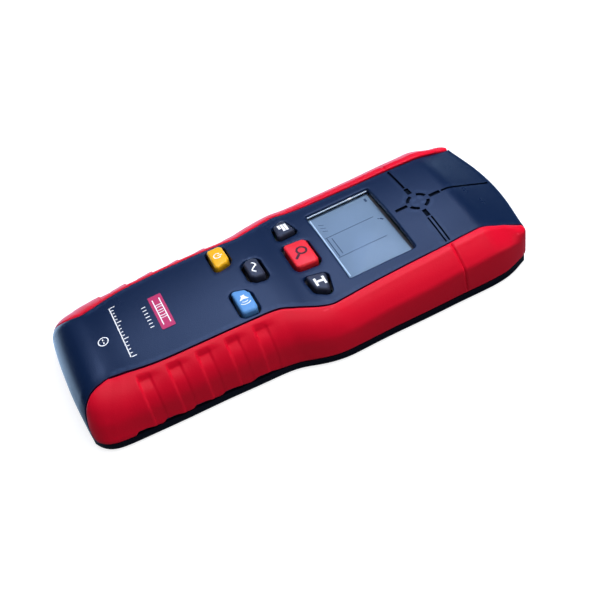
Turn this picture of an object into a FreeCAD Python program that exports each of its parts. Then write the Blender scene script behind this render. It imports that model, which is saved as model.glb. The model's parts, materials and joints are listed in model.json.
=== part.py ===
import FreeCAD, Part
import Sketcher
import math
import os

# Hand-held wall scanner (stud finder).  Millimetres.
# Frame: origin at the bottom centre, +X to the right of the user, +Y from the
# handle towards the sensing head, +Z out of the display face.
# z = 0 is the plane of the four glide strips that touch the wall.

Vector = FreeCAD.Vector
Placement = FreeCAD.Placement
Rotation = FreeCAD.Rotation

doc = FreeCAD.newDocument("wall_scanner")
sheet = doc.addObject("Spreadsheet::Sheet", "dims")

# Driving dimensions; a text value is a formula over the other aliases.
DIMS = [
    # shells
    ("overall_length", 200.0), ("rear_face_height", 0.5), ("floor_thickness", 1.8),
    ("split_height", 3.6), ("shell_gap", 0.05), ("grip_thickness", 1.6),
    ("wall_thickness", 1.8), ("deck_thickness", 2.0), ("lip_height", 1.8),
    ("lip_thickness", 1.0), ("nose_radius", 107.0), ("butt_radius", 300.0),
    ("flute_depth", 0.8), ("mark_depth", 0.45), ("flute_pitch", 12.3), ("flute_radius", 7.0),
    # display stack; the seats are heights along the tilted normal
    ("display_tilt", 1.96), ("display_middle", 35.2),
    ("window_width", 43.4), ("window_length", 30.2), ("window_thickness", 1.0),
    ("window_seat", 19.4), ("window_corner", 1.0),
    ("glass_width", 40.8), ("glass_length", 28.8), ("glass_thickness", 1.7),
    ("glass_seat", 16.3),
    ("backlight_width", 40.4), ("backlight_length", 24.6), ("backlight_thickness", 1.4),
    ("backlight_seat", 14.8), ("backlight_shift", 1.2),
    ("frame_width", 46.0), ("frame_length", 33.2), ("frame_height", 3.5),
    ("frame_seat", 14.62), ("frame_opening_width", 41.0), ("frame_opening_length", 29.0),
    ("zebra_width", 38.0), ("zebra_length", 1.4), ("zebra_thickness", 2.6),
    ("zebra_seat", 13.62), ("zebra_shift", 13.0),
    # main board
    ("board_width", 56.0), ("board_length", 86.0), ("board_thickness", 1.6),
    ("board_top", 13.8), ("board_under", "=board_top - board_thickness"),
    ("board_middle", 13.0), ("board_hole_radius", 1.2),
    ("board_screw_span", 25.5), ("board_screw_near", -26.0), ("board_screw_far", 53.5),
    # sensor board
    ("sensor_width", 50.0), ("sensor_length", 60.0), ("sensor_thickness", 1.2),
    ("sensor_under", 3.4), ("sensor_top", "=sensor_under + sensor_thickness"),
    ("sensor_middle", 61.0), ("peg_radius", 1.0), ("peg_hole_radius", "=peg_radius + 0.1"),
    ("peg_span", 22.0), ("peg_near", 34.0), ("peg_far", 88.5),
    ("plate_width", 36.0), ("plate_length", 12.0), ("plate_thickness", 0.3),
    # parts on the boards
    ("mcu_width", 12.0), ("mcu_length", 12.0), ("mcu_thickness", 1.4),
    ("crystal_width", 11.0), ("crystal_length", 4.6), ("crystal_thickness", 3.4),
    ("crystal_corner", 2.1),
    ("header_width", 20.4), ("header_length", 2.6),
    ("header_thickness", "=board_under - sensor_top"),
    ("passive_width", 1.6), ("passive_length", 0.9), ("passive_height", 0.7),
    ("sensor_chip_width", 7.0), ("sensor_chip_length", 7.0), ("sensor_chip_thickness", 1.0),
    ("buzzer_radius", 6.0), ("buzzer_height", 6.0),
    ("capacitor_radius", 3.15), ("capacitor_height", 7.0), ("drum_edge", 0.4),
    # coil
    ("coil_middle", 63.8), ("former_bore", 12.0), ("former_wall", 13.4),
    ("former_flange", 18.8), ("former_height", 5.9), ("flange_thickness", 0.9),
    ("coil_outer", 18.0), ("coil_inner", 13.5), ("coil_height", 4.0), ("coil_gap", 0.05),
    # battery bay
    ("battery_width", 26.5), ("battery_height", 17.5), ("battery_body", 45.3),
    ("battery_corner", 2.0), ("battery_end", -84.0), ("battery_floor", 2.6),
    ("battery_head", "=battery_end + battery_body"),
    ("battery_axis_height", "=battery_floor + battery_height / 2"),
    ("terminal_length", 3.1), ("terminal_pitch", 12.7),
    ("stud_radius", 2.8), ("socket_radius", 3.9),
    ("snap_width", 25.6), ("snap_height", 12.0), ("snap_depth", 5.0), ("snap_gap", 0.1),
    ("snap_stud_room", 2.9), ("snap_socket_room", 4.0), ("snap_room_depth", 3.3),
    ("foam_width", 20.0), ("foam_length", 2.0), ("foam_thickness", 6.0),
    ("door_width", 28.4), ("door_end", -86.0), ("door_thickness", 1.8),
    ("door_axis_along", -36.0), ("door_axis_height", 2.0), ("door_roll_radius", 1.2),
    ("door_pin_radius", 0.8), ("door_bore_radius", 0.85), ("lead_radius", 0.7),
    # keys; each key's top is that of its flange
    ("key_proud", 1.7), ("key_clearance", 0.3), ("key_column_radius", 3.4), ("key_foot", 15.1),
    ("key_flange_height", 1.5), ("key_column_sunk", 0.1),
    ("key_cap_sunk", 0.5), ("key_cap_height", 14.0),
    ("power_key_top", 21.6), ("sound_key_top", "=power_key_top"), ("ac_key_top", 21.9),
    ("zoom_key_top", 19.4), ("wood_key_top", 17.9), ("metal_key_top", "=wood_key_top"),
    ("pill_radius", 2.4), ("pill_thickness", 0.4),
    ("mat_width", 45.8), ("mat_length", 43.5), ("mat_middle", -6.75),
    ("mat_thickness", 1.0), ("mat_hole_radius", 4.2), ("mat_gap", 0.08),
    ("pad_radius", 2.6), ("pad_thickness", 0.06),
    # fasteners
    ("case_head_radius", 2.4), ("case_head_height", 1.8), ("case_shank_radius", 1.3),
    ("case_shank_length", 9.4), ("case_drive_depth", 0.8), ("case_head_sunk", 1.25),
    ("head_screw_span", 30.5), ("head_screw_along", 82.0),
    ("tail_screw_span", 25.0), ("tail_screw_along", -88.5),
    ("board_head_radius", 2.0), ("board_head_height", 1.3), ("board_shank_radius", 1.0),
    ("board_shank_length", 5.0), ("board_drive_depth", 0.8),
    # labels and glide strips
    ("label_width", 34.0), ("label_length", 18.0), ("label_thickness", 0.2),
    ("label_corner", 1.5), ("label_middle", -16.5),
    ("badge_width", 19.8), ("badge_length", 5.8), ("badge_thickness", 0.3),
    ("badge_middle", -54.1), ("badge_gap", 0.03),
    ("strip_width", 5.0), ("head_strip_length", 46.0), ("tail_strip_length", 44.0),
]
for row, (alias, value) in enumerate(DIMS, 1):
    sheet.set("A%d" % row, alias)
    sheet.set("B%d" % row, str(value))
    sheet.setAlias("B%d" % row, alias)
doc.recompute()


def dim(alias):
    return float(sheet.get(alias))


# ------------------------------------------------------- sketches and bodies
def new_body(label):
    body = doc.addObject("PartDesign::Body", label)
    body.AllowCompound = True
    return body


def new_sketch(body, name, role="XY_Plane", offset=None):
    """Sketch on one of the body's origin planes; offset is an expression."""
    plane = next(item for item in body.Origin.OriginFeatures if item.Role == role)
    sketch = body.newObject("Sketcher::SketchObject", name)
    sketch.AttachmentSupport = [(plane, "")]
    sketch.MapMode = "FlatFace"
    if offset is not None:
        sketch.setExpression("AttachmentOffset.Base.z", offset)
    return sketch


def add_size(sketch, constraint, name, alias):
    """Add a dimensional constraint driven by the sheet."""
    index = sketch.addConstraint(constraint)
    sketch.renameConstraint(index, name)
    sketch.setExpression("Constraints." + name, "dims." + alias)


def add_outline(sketch, points):
    """Closed outline of line segments joined end to end."""
    first = sketch.GeometryCount
    count = len(points)
    for i in range(count):
        start, end = points[i], points[(i + 1) % count]
        sketch.addGeometry(Part.LineSegment(Vector(*start, 0), Vector(*end, 0)), False)
    for i in range(count):
        sketch.addConstraint(
            Sketcher.Constraint("Coincident", first + i, 2, first + (i + 1) % count, 1))


def add_rectangle(sketch, width, length, x=0.0, y=0.0):
    """Rectangle centred on x, y; width and length are sheet aliases."""
    first = sketch.GeometryCount
    across, along = dim(width), dim(length)
    left, low = x - across / 2, y - along / 2
    right, high = x + across / 2, y + along / 2
    add_outline(sketch, [(left, low), (right, low), (right, high), (left, high)])
    for i in (0, 2):
        sketch.addConstraint(Sketcher.Constraint("Horizontal", first + i))
        sketch.addConstraint(Sketcher.Constraint("Vertical", first + i + 1))
    if x == 0.0 and y == 0.0:
        sketch.addConstraint(Sketcher.Constraint("Symmetric", first, 1, first + 1, 2, -1, 1))
    else:
        sketch.addConstraint(Sketcher.Constraint("DistanceX", -1, 1, first, 1, left))
        sketch.addConstraint(Sketcher.Constraint("DistanceY", -1, 1, first, 1, low))
    add_size(sketch, Sketcher.Constraint("DistanceX", first, 1, first, 2, across),
             "width%d" % first, width)
    add_size(sketch, Sketcher.Constraint("DistanceY", first + 1, 1, first + 1, 2, along),
             "length%d" % first, length)


def add_circle(sketch, radius, x=0.0, y=0.0):
    """Circle centred on x, y; radius is a sheet alias."""
    index = sketch.GeometryCount
    sketch.addGeometry(Part.Circle(Vector(x, y, 0), Vector(0, 0, 1), dim(radius)), False)
    if x == 0.0 and y == 0.0:
        sketch.addConstraint(Sketcher.Constraint("Coincident", index, 3, -1, 1))
    else:
        sketch.addConstraint(Sketcher.Constraint("DistanceX", -1, 1, index, 3, x))
        sketch.addConstraint(Sketcher.Constraint("DistanceY", -1, 1, index, 3, y))
    add_size(sketch, Sketcher.Constraint("Radius", index, dim(radius)),
             "radius%d" % index, radius)


def extrude(kind, body, sketch, length, name, is_reversed):
    result = body.newObject("PartDesign::" + kind, name)
    result.Profile = sketch
    result.setExpression("Length", length)
    result.Reversed = is_reversed
    body.Tip = result
    return result


def pad(body, sketch, length, name, against_normal=False):
    return extrude("Pad", body, sketch, length, name, against_normal)


def pocket(body, sketch, length, name, along_normal=False):
    return extrude("Pocket", body, sketch, length, name, along_normal)


def round_edges(body, base, radius, is_picked, name):
    doc.recompute()
    names = ["Edge%d" % i for i, edge in enumerate(base.Shape.Edges, 1) if is_picked(edge)]
    fillet = body.newObject("PartDesign::Fillet", name)
    fillet.Base = (base, names)
    fillet.setExpression("Radius", "dims." + radius)
    body.Tip = fillet


def is_upright(edge):
    tangent = edge.tangentAt(edge.FirstParameter)
    return abs(tangent.z) > 0.99 and edge.Curve.TypeId == "Part::GeomLine"


def is_along_y(edge):
    return abs(edge.tangentAt(edge.FirstParameter).y) > 0.99


def is_circle(edge):
    return edge.Curve.TypeId == "Part::GeomCircle"


def place(body, x, y, z, rotation=Rotation()):
    body.Placement = Placement(Vector(x, y, z), rotation)


def slab(label, size, position, rotation=Rotation(), corner=None):
    """Flat rectangular piece; size is the prefix of its three aliases."""
    body = new_body(label)
    sketch = new_sketch(body, label + "_outline")
    add_rectangle(sketch, size + "_width", size + "_length")
    base = pad(body, sketch, "dims." + size + "_thickness", label + "_pad")
    if corner:
        round_edges(body, base, corner, is_upright, label + "_corners")
    place(body, *position, rotation)


def drum(label, size, x, y, top):
    """Upright cylinder hanging below top, with rounded rims."""
    body = new_body(label)
    sketch = new_sketch(body, label + "_outline")
    add_circle(sketch, size + "_radius")
    base = pad(body, sketch, "dims." + size + "_height", label + "_pad")
    round_edges(body, base, "drum_edge", is_circle, label + "_edge")
    place(body, x, y, top - dim(size + "_height"))


# ------------------------------------------------------------- plain solids
def feature(label, shape):
    result = doc.addObject("Part::Feature", label)
    result.Shape = shape
    return result


def block(x_min, x_max, y_min, y_max, z_min, z_max):
    return Part.makeBox(x_max - x_min, y_max - y_min, z_max - z_min,
                        Vector(x_min, y_min, z_min))


def side_block(side, x_near, x_far, y_min, y_max, z_min, z_max):
    """Block between two distances from the centre plane, on one side."""
    return block(*sorted((side * x_near, side * x_far)), y_min, y_max, z_min, z_max)


def post(radius, x, y, z_min, z_max):
    return Part.makeCylinder(radius, z_max - z_min, Vector(x, y, z_min))


def cross_rod(radius, half_length, y, z):
    """Cylinder along X, centred on the centre plane."""
    return Part.makeCylinder(radius, 2 * half_length, Vector(-half_length, y, z),
                             Vector(1, 0, 0))


def prism(outline, z_min, z_max):
    points = [Vector(x, y, z_min) for x, y in outline]
    face = Part.Face(Part.makePolygon(points + [points[0]]))
    return face.extrude(Vector(0, 0, z_max - z_min))


def mirrored(shape):
    return shape.mirror(Vector(0, 0, 0), Vector(1, 0, 0))


def largest(shape):
    return max(shape.Solids, key=lambda solid: solid.Volume)


def both_sides(places):
    return [(side * x, y) for side in (-1, 1) for x, y in places]


# --------------------------------------------------------- shared positions
HALF_LENGTH = dim("overall_length") / 2
REAR_FACE = dim("rear_face_height")
FLOOR_TOP = REAR_FACE + dim("floor_thickness")
SPLIT = dim("split_height")
GAP = dim("shell_gap")
COVER_BOTTOM = SPLIT + GAP
BOARD_UNDER = dim("board_under")
SENSOR_TOP = dim("sensor_top")
COIL_Y = dim("coil_middle")

# x, y of the fasteners on the right-hand side
CASE_SCREWS = [(dim("head_screw_span"), dim("head_screw_along")),
               (dim("tail_screw_span"), dim("tail_screw_along"))]
BOARD_SCREWS = [(dim("board_screw_span"), dim("board_screw_near")),
                (dim("board_screw_span"), dim("board_screw_far"))]
PEGS = [(dim("peg_span"), dim("peg_near")), (dim("peg_span"), dim("peg_far"))]

# ------------------------------------------------- outer form of the casing
# y, half width of the base outline, then half width and height of the edge
# between the display cover and the grips
FLANK = [
    (-101, 21.0, 15.0, 8.0), (-99.4, 27.0, 16.5, 12.0), (-97.5, 31.0, 18.0, 15.4),
    (-95, 34.0, 19.0, 18.0), (-91, 35.9, 20.0, 20.3), (-85, 36.4, 20.6, 22.0),
    (-75, 36.5, 21.5, 22.9), (-60, 36.5, 22.7, 23.5), (-45, 36.2, 23.2, 24.0),
    (-30, 36.4, 23.5, 24.3), (-20, 36.4, 23.5, 24.2), (-12, 37.3, 24.2, 23.7),
    (-5.8, 39.4, 25.8, 22.8), (0.5, 41.2, 27.7, 21.6), (6, 42.0, 28.8, 20.8),
    (15, 41.8, 28.8, 20.3), (30, 41.2, 28.2, 20.8), (45, 41.0, 27.5, 21.4),
    (60, 40.5, 27.2, 22.0), (72, 40.3, 26.6, 22.4), (80, 39.8, 26.9, 21.5),
    (85, 38.6, 27.5, 20.0), (90, 36.6, 28.4, 18.4), (95, 34.0, 29.2, 16.8),
    (100, 30.8, 29.6, 15.2), (104, 28.0, 27.5, 14.0),
]
BASE_HALF = [(y, base) for y, base, edge, height in FLANK]
EDGE_HALF = [(y, edge) for y, base, edge, height in FLANK]
EDGE_HEIGHT = [(y, height) for y, base, edge, height in FLANK]
# y, rise of the cover's middle above its edges
CROWN = [(-101, 0.6), (-92, 1.2), (-80, 1.4), (-20, 1.4), (15, 1.8), (30, 2.0),
         (80, 2.0), (104, 1.6)]
# y, shoulder style: 0 = round, 1 = flat with a chamfer
STYLE = [(-101, 0.0), (-22, 0.0), (0, 0.12), (12, 0.32), (25, 0.45), (50, 0.54),
         (62, 0.74), (72, 1.0), (80, 1.0), (95, 0.5), (104, 0.4)]
# shares of the way out from cover edge to base outline, and of the edge height
ROUND_SHOULDER = [(0.14, 0.967), (0.28, 0.92), (0.445, 0.85), (0.605, 0.755),
                  (0.74, 0.645), (0.845, 0.52), (0.946, 0.30), (1.0, 0.152)]
FLAT_SHOULDER = [(0.12, 1.02), (0.27, 1.03), (0.44, 0.975), (0.60, 0.91),
                 (0.75, 0.85), (0.88, 0.765), (0.95, 0.50), (0.97, 0.17)]
# y of the lofted sections
STATIONS = [-100.0, -98.6, -96.6, -93.5, -89, -83, -72, -58, -44, -30, -20, -12, -5.8,
            0.5, 6, 15, 30, 45, 60, 72, 78, 83, 88, 94, 103]
INSET_START = -97.9        # inset forms have no section behind this y
END_ZONE, END_BLEND = 80.0, 12.0   # where the end inset begins, and its run-in
REACH = 60.0               # beyond the casing's sides and top
FAR = 120.0                # beyond the casing's ends
CAVITY_END_INSET = 2.4
SKIN = 0.9                 # thickness kept between inner posts and the outside


def value_at(table, y):
    """Linear reading of a (y, value) table, held constant past its ends."""
    if y <= table[0][0]:
        return table[0][1]
    for (y_low, low), (y_high, high) in zip(table, table[1:]):
        if y <= y_high:
            share = (y - y_low) / (y_high - y_low)
            return low + (high - low) * share
    return table[-1][1]


def end_share(distance):
    """0 in the middle of the casing, growing to 1 near an end."""
    return min(1.0, max(0.0, (distance - END_ZONE) / END_BLEND))


def shoulder(y, side, top, low):
    """x, z points of the right flank from z = low up to the cover's edge."""
    base_x = value_at(BASE_HALF, y) - side
    edge_x = value_at(EDGE_HALF, y)
    edge_z = value_at(EDGE_HEIGHT, y) - top
    style = value_at(STYLE, y)
    style = style * style * (3 - 2 * style)
    points = [(edge_x, edge_z)]
    for (round_out, round_up), (flat_out, flat_up) in zip(ROUND_SHOULDER, FLAT_SHOULDER):
        out = round_out + (flat_out - round_out) * style
        up = round_up + (flat_up - round_up) * style
        points.append((edge_x + (base_x - edge_x) * out, edge_z * up))
    points.append((base_x, low))
    return points[::-1]


def spline(points, y):
    """Curve through x, z points in the plane of one station."""
    curve = Part.BSplineCurve()
    spans = len(points) - 1
    # the same parameters at every station keep the lofted surfaces light
    curve.interpolate(Points=[Vector(x, y, z) for x, z in points],
                      Parameters=[i / spans for i in range(spans + 1)])
    return curve.toShape()


def lines(points, y):
    """Edges joining x, z points in the plane of one station."""
    corners = [Vector(x, y, z) for x, z in points]
    return [Part.LineSegment(start, end).toShape() for start, end in zip(corners, corners[1:])]


def crown_arc(y, half_width, edge_z, rise):
    return Part.Arc(Vector(half_width, y, edge_z), Vector(0, y, edge_z + rise),
                    Vector(-half_width, y, edge_z)).toShape()


def full_section(y, probe, side, top):
    """Closed section placed at y, with its sizes read at probe."""
    right = shoulder(probe, side, top, REAR_FACE)
    left = [(-x, z) for x, z in reversed(right)]
    crown = crown_arc(y, *right[-1], value_at(CROWN, probe))
    return Part.Wire([spline(right, y), crown, spline(left, y)]
                     + lines([left[-1], right[0]], y))


def end_cutter(y_min, y_max, radius, centre_y):
    """Block over one end of the casing, hollowed by an upright cylinder."""
    rounded = Part.makeCylinder(radius, 80, Vector(0, centre_y, -20))
    return block(-REACH, REACH, y_min, y_max, -20, REACH).cut(rounded)


def shell_form(side, top, end):
    """Solid of the casing's form, inset by side, top and end."""
    wires = []
    for y in STATIONS:
        if end and y < INSET_START:
            continue
        probe = y + end * (end_share(y) - end_share(-y))
        wires.append(full_section(y, probe, side, top))
    form = Part.makeLoft(wires, True, False)
    # in plan the nose is an arc, and the butt a flatter one
    nose, butt = dim("nose_radius"), dim("butt_radius")
    form = form.cut(end_cutter(20, 140, nose - end, HALF_LENGTH - nose))
    form = form.cut(end_cutter(-140, -85, butt - end, butt - HALF_LENGTH))
    return form.Solids[0]


outer = shell_form(0.0, 0.0, 0.0)
cavity = shell_form(dim("grip_thickness") + dim("wall_thickness"), dim("deck_thickness"),
                    CAVITY_END_INSET)

# ------------------------------------------------------------ the two grips
# y, half width of the grip's inner edge behind GRIP_EDGE_END
GRIP_EDGE = [(-101, 31.5), (-98.5, 29.5), (-96.5, 25.0), (-93.5, 22.0), (-89, 20.4)]
GRIP_EDGE_END = -89
GRIP_STATIONS = [-98.0, -95.5, -92, -88, -82, -72, -58, -44, -30, -20, -12, -5.8, 0.5, 6,
                 15, 30, 45, 60, 72, 78, 83, 88, 93, 97.5]
GRIP_POINTS = 9            # points along the flank at every station
GRIP_LEAST_WIDTH = 3.0
GRIP_POINT_SPACE = 0.8     # flank points nearer the inner edge are left out
GRIP_ROOM_TOP = 40.0

FLUTE_COUNT = 5
FLUTE_START = -74.2
FLUTE_LENGTH = 9.0
FLUTE_AXIS_SHIFT = 3.2     # from the flute's start to its cylinder's axis
FLUTE_FACE = 36.3          # x of the flank where the depth is measured
FLUTE_TOP = 21.0

GROOVE_START, GROOVE_END = 62.6, 63.4
GROOVE_SIDE, GROOVE_DEPTH = 0.6, 0.4   # how far it cuts inwards and down


def evenly_spaced(points, count):
    """Points at equal steps of length along a polyline."""
    length = [0.0]
    for start, end in zip(points, points[1:]):
        length.append(length[-1] + math.hypot(end[0] - start[0], end[1] - start[1]))
    even = []
    for i in range(count):
        target = length[-1] * i / (count - 1)
        k = 0
        while k < len(length) - 2 and length[k + 1] < target:
            k += 1
        share = (target - length[k]) / (length[k + 1] - length[k])
        (x_start, z_start), (x_end, z_end) = points[k], points[k + 1]
        even.append((x_start + (x_end - x_start) * share,
                     z_start + (z_end - z_start) * share))
    return even


def grip_section(y):
    """Closed wire around the right grip's room, reaching past the outside."""
    inset = dim("grip_thickness")
    points = shoulder(y - inset * end_share(-y), inset, inset, COVER_BOTTOM)
    points = [point for point in points if point[1] >= COVER_BOTTOM - 1e-6]
    edge_table = GRIP_EDGE if y < GRIP_EDGE_END else EDGE_HALF
    edge_x = min(value_at(edge_table, y), points[0][0] - GRIP_LEAST_WIDTH)
    # height of the flank at edge_x, or of its top where it ends short of edge_x
    edge_z = next((z_out + (z_in - z_out) * (x_out - edge_x) / (x_out - x_in)
                   for (x_out, z_out), (x_in, z_in) in zip(points, points[1:])
                   if x_in <= edge_x <= x_out), points[-1][1])
    kept = [point for point in points[1:] if point[0] > edge_x + GRIP_POINT_SPACE]
    even = evenly_spaced([points[0]] + kept + [(edge_x, edge_z)], GRIP_POINTS)
    around = [even[-1], (even[-1][0], GRIP_ROOM_TOP), (REACH, GRIP_ROOM_TOP),
              (REACH, COVER_BOTTOM), even[0]]
    return Part.Wire([spline(even, y)] + lines(around, y))


def make_right_grip():
    grip = outer.common(grip_room)
    # finger flutes along the handle
    radius = dim("flute_radius")
    for k in range(FLUTE_COUNT):
        start = FLUTE_START + k * dim("flute_pitch")
        cutter = post(radius, FLUTE_FACE + radius - dim("flute_depth"),
                      start + FLUTE_AXIS_SHIFT, -20, 20)
        grip = grip.cut(cutter.common(
            block(20, 70, start, start + FLUTE_LENGTH, -5, FLUTE_TOP)))
    # the seam groove of the head
    groove_floor = outer.copy()
    groove_floor.translate(Vector(-GROOVE_SIDE, 0, -GROOVE_DEPTH))
    grip = grip.cut(block(20, REACH, GROOVE_START, GROOVE_END, 3, 40).cut(groove_floor))
    return grip.Solids[0]


grip_room = Part.makeLoft([grip_section(y) for y in GRIP_STATIONS], True, False)
right_grip = make_right_grip()
feature("right_grip", right_grip)
feature("left_grip", mirrored(right_grip))

# ------------------------------------------------------------- key positions
POWER_OUTLINE = [(-19.9, -26.4), (-20.9, -25.6), (-21.1, -20.6), (-19.6, -19.5),
                 (-11.6, -19.5), (-9.3, -21.0), (-8.0, -25.6), (-9.0, -26.6)]
AC_OUTLINE = [(-4.6, -16.3), (-6.3, -14.2), (-6.6, -10.4), (-5.2, -9.3),
              (5.2, -9.3), (6.6, -10.4), (6.3, -14.2), (4.6, -16.3)]
ZOOM_OUTLINE = [(-6.6, 3.1), (-7.7, 4.3), (-7.7, 12.0), (-6.2, 13.4),
                (6.2, 13.4), (7.7, 12.0), (7.7, 4.3), (6.6, 3.1)]
WOOD_OUTLINE = [(-21.6, 4.8), (-24.2, 8.9), (-23.6, 10.3), (-14.8, 12.5),
                (-13.6, 4.6), (-14.4, 3.9)]


def across(outline):
    """Outline mirrored to the other side, keeping its direction."""
    return [(-x, y) for x, y in reversed(outline)]


# key: x, y of its column, outline of its cap
KEYS = {
    "power_key": (-14.8, -23.2, POWER_OUTLINE),
    "ac_key": (0, -12.8, AC_OUTLINE),
    "zoom_key": (0, 8.3, ZOOM_OUTLINE),
    "wood_key": (-18.2, 8.2, WOOD_OUTLINE),
    "sound_key": (14.8, -23.2, across(POWER_OUTLINE)),
    "metal_key": (18.2, 8.2, across(WOOD_OUTLINE)),
}
KEY_FLANGE_RIM = 0.9       # flange beyond the cap


def grown(outline, distance):
    """Outline with every side moved outwards by distance."""
    pairs = list(zip(outline, outline[1:] + outline[:1]))
    area = sum(start[0] * end[1] - end[0] * start[1] for start, end in pairs)
    turn = 1.0 if area > 0 else -1.0
    sides = []
    for (x_start, y_start), (x_end, y_end) in pairs:
        run, climb = x_end - x_start, y_end - y_start
        length = math.hypot(run, climb)
        sides.append((x_start + turn * climb / length * distance,
                      y_start - turn * run / length * distance, run, climb))
    corners = []
    for i, (x_next, y_next, run_next, climb_next) in enumerate(sides):
        x, y, run, climb = sides[i - 1]
        cross = run_next * climb - run * climb_next
        step = (run_next * (y_next - y) - (x_next - x) * climb_next) / cross
        corners.append((x + run * step, y + climb * step))
    return corners


# --------------------------------------------------------------- front cover
TILT = Rotation(Vector(1, 0, 0), dim("display_tilt"))
DISPLAY_MIDDLE = Vector(0, dim("display_middle"), 0)

FRAME_HALF_WIDTH, FRAME_HALF_LENGTH = 24.2, 17.6   # thickened deck round the window
FRAME_BELOW_SEAT = 1.2
WINDOW_CLEARANCE = 0.05
VIEW_HALF_WIDTH, VIEW_HALF_LENGTH = 20.6, 14.0     # opening below the window
POST_REACH = 30.0          # the posts run up into the deck
BOARD_POST_RADIUS = 2.3
COVER_POST_RADIUS = 3.2
REAR_POST_TOP = 6.0        # where the case posts of the two covers meet
PILOT_CLEARANCE = 0.05
BOARD_PILOT_DEPTH = 4.2
CASE_PILOT_TOP = 13.4

# centre mark of the sensing head: a broken ring and straight bars
RING_OUTER, RING_INNER = 5.1, 3.6
RING_BREAK = 1.35          # half width of the breaks
# x_min, x_max, y_min, y_max
MARK_BARS = [(-10.2, -5.9, 62.3, 64.3), (5.9, 10.2, 62.3, 64.3), (-0.95, 0.95, 69.3, 74.4),
             (-0.85, 0.85, 53.0, 58.6), (-0.5, 0.5, 75.0, 97.0), (-25.4, -10.8, 62.6, 63.6),
             (10.9, 25.4, 61.9, 62.7), (10.9, 25.4, 63.6, 64.4)]


def tilted_block(half_width, half_length, z_min, z_max):
    """Block about the display's middle, turned into the tilted stack."""
    shape = block(-half_width, half_width, -half_length, half_length, z_min, z_max)
    shape.Placement = Placement(DISPLAY_MIDDLE, TILT)
    return shape


def front_additions():
    """Window frame and screw posts, kept inside the skin."""
    skin = shell_form(SKIN, SKIN, SKIN)
    parts = [tilted_block(FRAME_HALF_WIDTH, FRAME_HALF_LENGTH,
                          dim("window_seat") - FRAME_BELOW_SEAT, 30)]
    for side in (-1, 1):
        parts += [post(BOARD_POST_RADIUS, side * x, y, dim("board_top") + GAP, POST_REACH)
                  for x, y in BOARD_SCREWS]
        parts += [post(COVER_POST_RADIUS, side * x, y, REAR_POST_TOP + GAP, POST_REACH)
                  for x, y in CASE_SCREWS]
    return [part.common(skin) for part in parts]


def front_cuts():
    """Window seat and opening, screw pilots and key openings."""
    cuts = [tilted_block(dim("window_width") / 2 + WINDOW_CLEARANCE,
                         dim("window_length") / 2 + WINDOW_CLEARANCE, dim("window_seat"), 40),
            tilted_block(VIEW_HALF_WIDTH, VIEW_HALF_LENGTH, 0, 40)]
    for side in (-1, 1):
        cuts += [post(dim("board_shank_radius") + PILOT_CLEARANCE, side * x, y, 10,
                      dim("board_top") + BOARD_PILOT_DEPTH) for x, y in BOARD_SCREWS]
        cuts += [post(dim("case_shank_radius") + PILOT_CLEARANCE, side * x, y, 5,
                      CASE_PILOT_TOP) for x, y in CASE_SCREWS]
    cuts += [prism(grown(outline, dim("key_clearance")), 12, 40)
             for x, y, outline in KEYS.values()]
    return cuts


def centre_mark():
    """The mark as a shallow layer under the outer surface."""
    ring = post(RING_OUTER, 0, COIL_Y, 8, 42).cut(post(RING_INNER, 0, COIL_Y, 8, 42))
    ring = ring.cut(block(-6, 6, COIL_Y - RING_BREAK, COIL_Y + RING_BREAK, 7, 43))
    ring = ring.cut(block(-RING_BREAK, RING_BREAK, 57, 71, 7, 43))
    mark = Part.makeCompound([ring] + [block(*bar, 8, 42) for bar in MARK_BARS])
    lowered = outer.copy()
    lowered.translate(Vector(0, 0, -dim("mark_depth")))
    return mark.cut(lowered)


def make_front_cover():
    front = outer.common(block(-REACH, REACH, -FAR, FAR, COVER_BOTTOM, REACH))
    front = front.cut(grip_room).cut(mirrored(grip_room))
    front = front.cut(cavity)
    front = front.fuse(front_additions())
    front = largest(front.cut(front_cuts()))
    marked = front.cut(centre_mark())
    removed = front.Volume - marked.Volume
    # guards against a failed shallow cut: the cover then stays unmarked
    if marked.isValid() and len(marked.Solids) == 1 and 5.0 < removed < 120.0:
        front = marked.Solids[0]
    return front


feature("front_cover", make_front_cover())

# ---------------------------------------------------------------- rear cover
ROOT = 0.3                 # how far raised parts are sunk into the floor
LIP_CLEARANCE = 0.9        # from the side wall's inside to the lip
# y of the points along each side lip
LIP_AT = [-78, -68, -58, -44, -30, -20, -12, -8, -5.8, -3, 0.5, 3, 6, 10, 15, 22, 30, 45,
          60, 72, 80, 84]
NOSE_LIP_INSET = 3.3
NOSE_LIP_HALF_WIDTH = 24.0
REAR_POST_RADIUS = 3.4
PEG_BASE_RADIUS = 1.7
PEG_HEIGHT = 2.2           # above the sensor board's underside
BAY_INNER, BAY_OUTER = 14.5, 16.1      # x of the battery bay's side walls
BAY_END, BAY_HEAD = -87.8, -39.0
BAY_WALL_TOP, BAY_END_TOP = 12.0, 14.0
BAY_END_INNER = -86.2
CHEEK_INNER = 11.5         # the cheeks carry the door's pins
CHEEK_START, CHEEK_END, CHEEK_TOP = -38.2, -33.8, 4.2
DOOR_CLEARANCE = 0.15
DOORWAY_HEAD = -38.3
NECK_ROOM_HALF, NECK_ROOM_START, NECK_ROOM_PAST_AXIS = 11.4, -39.0, 1.6
BORE_HALF_LENGTH = 14.2
SHANK_CLEARANCE, HEAD_CLEARANCE = 0.15, 0.25

DOOR_HALF = dim("door_width") / 2
DOOR_END = dim("door_end")
AXIS_Y, AXIS_Z = dim("door_axis_along"), dim("door_axis_height")


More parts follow.
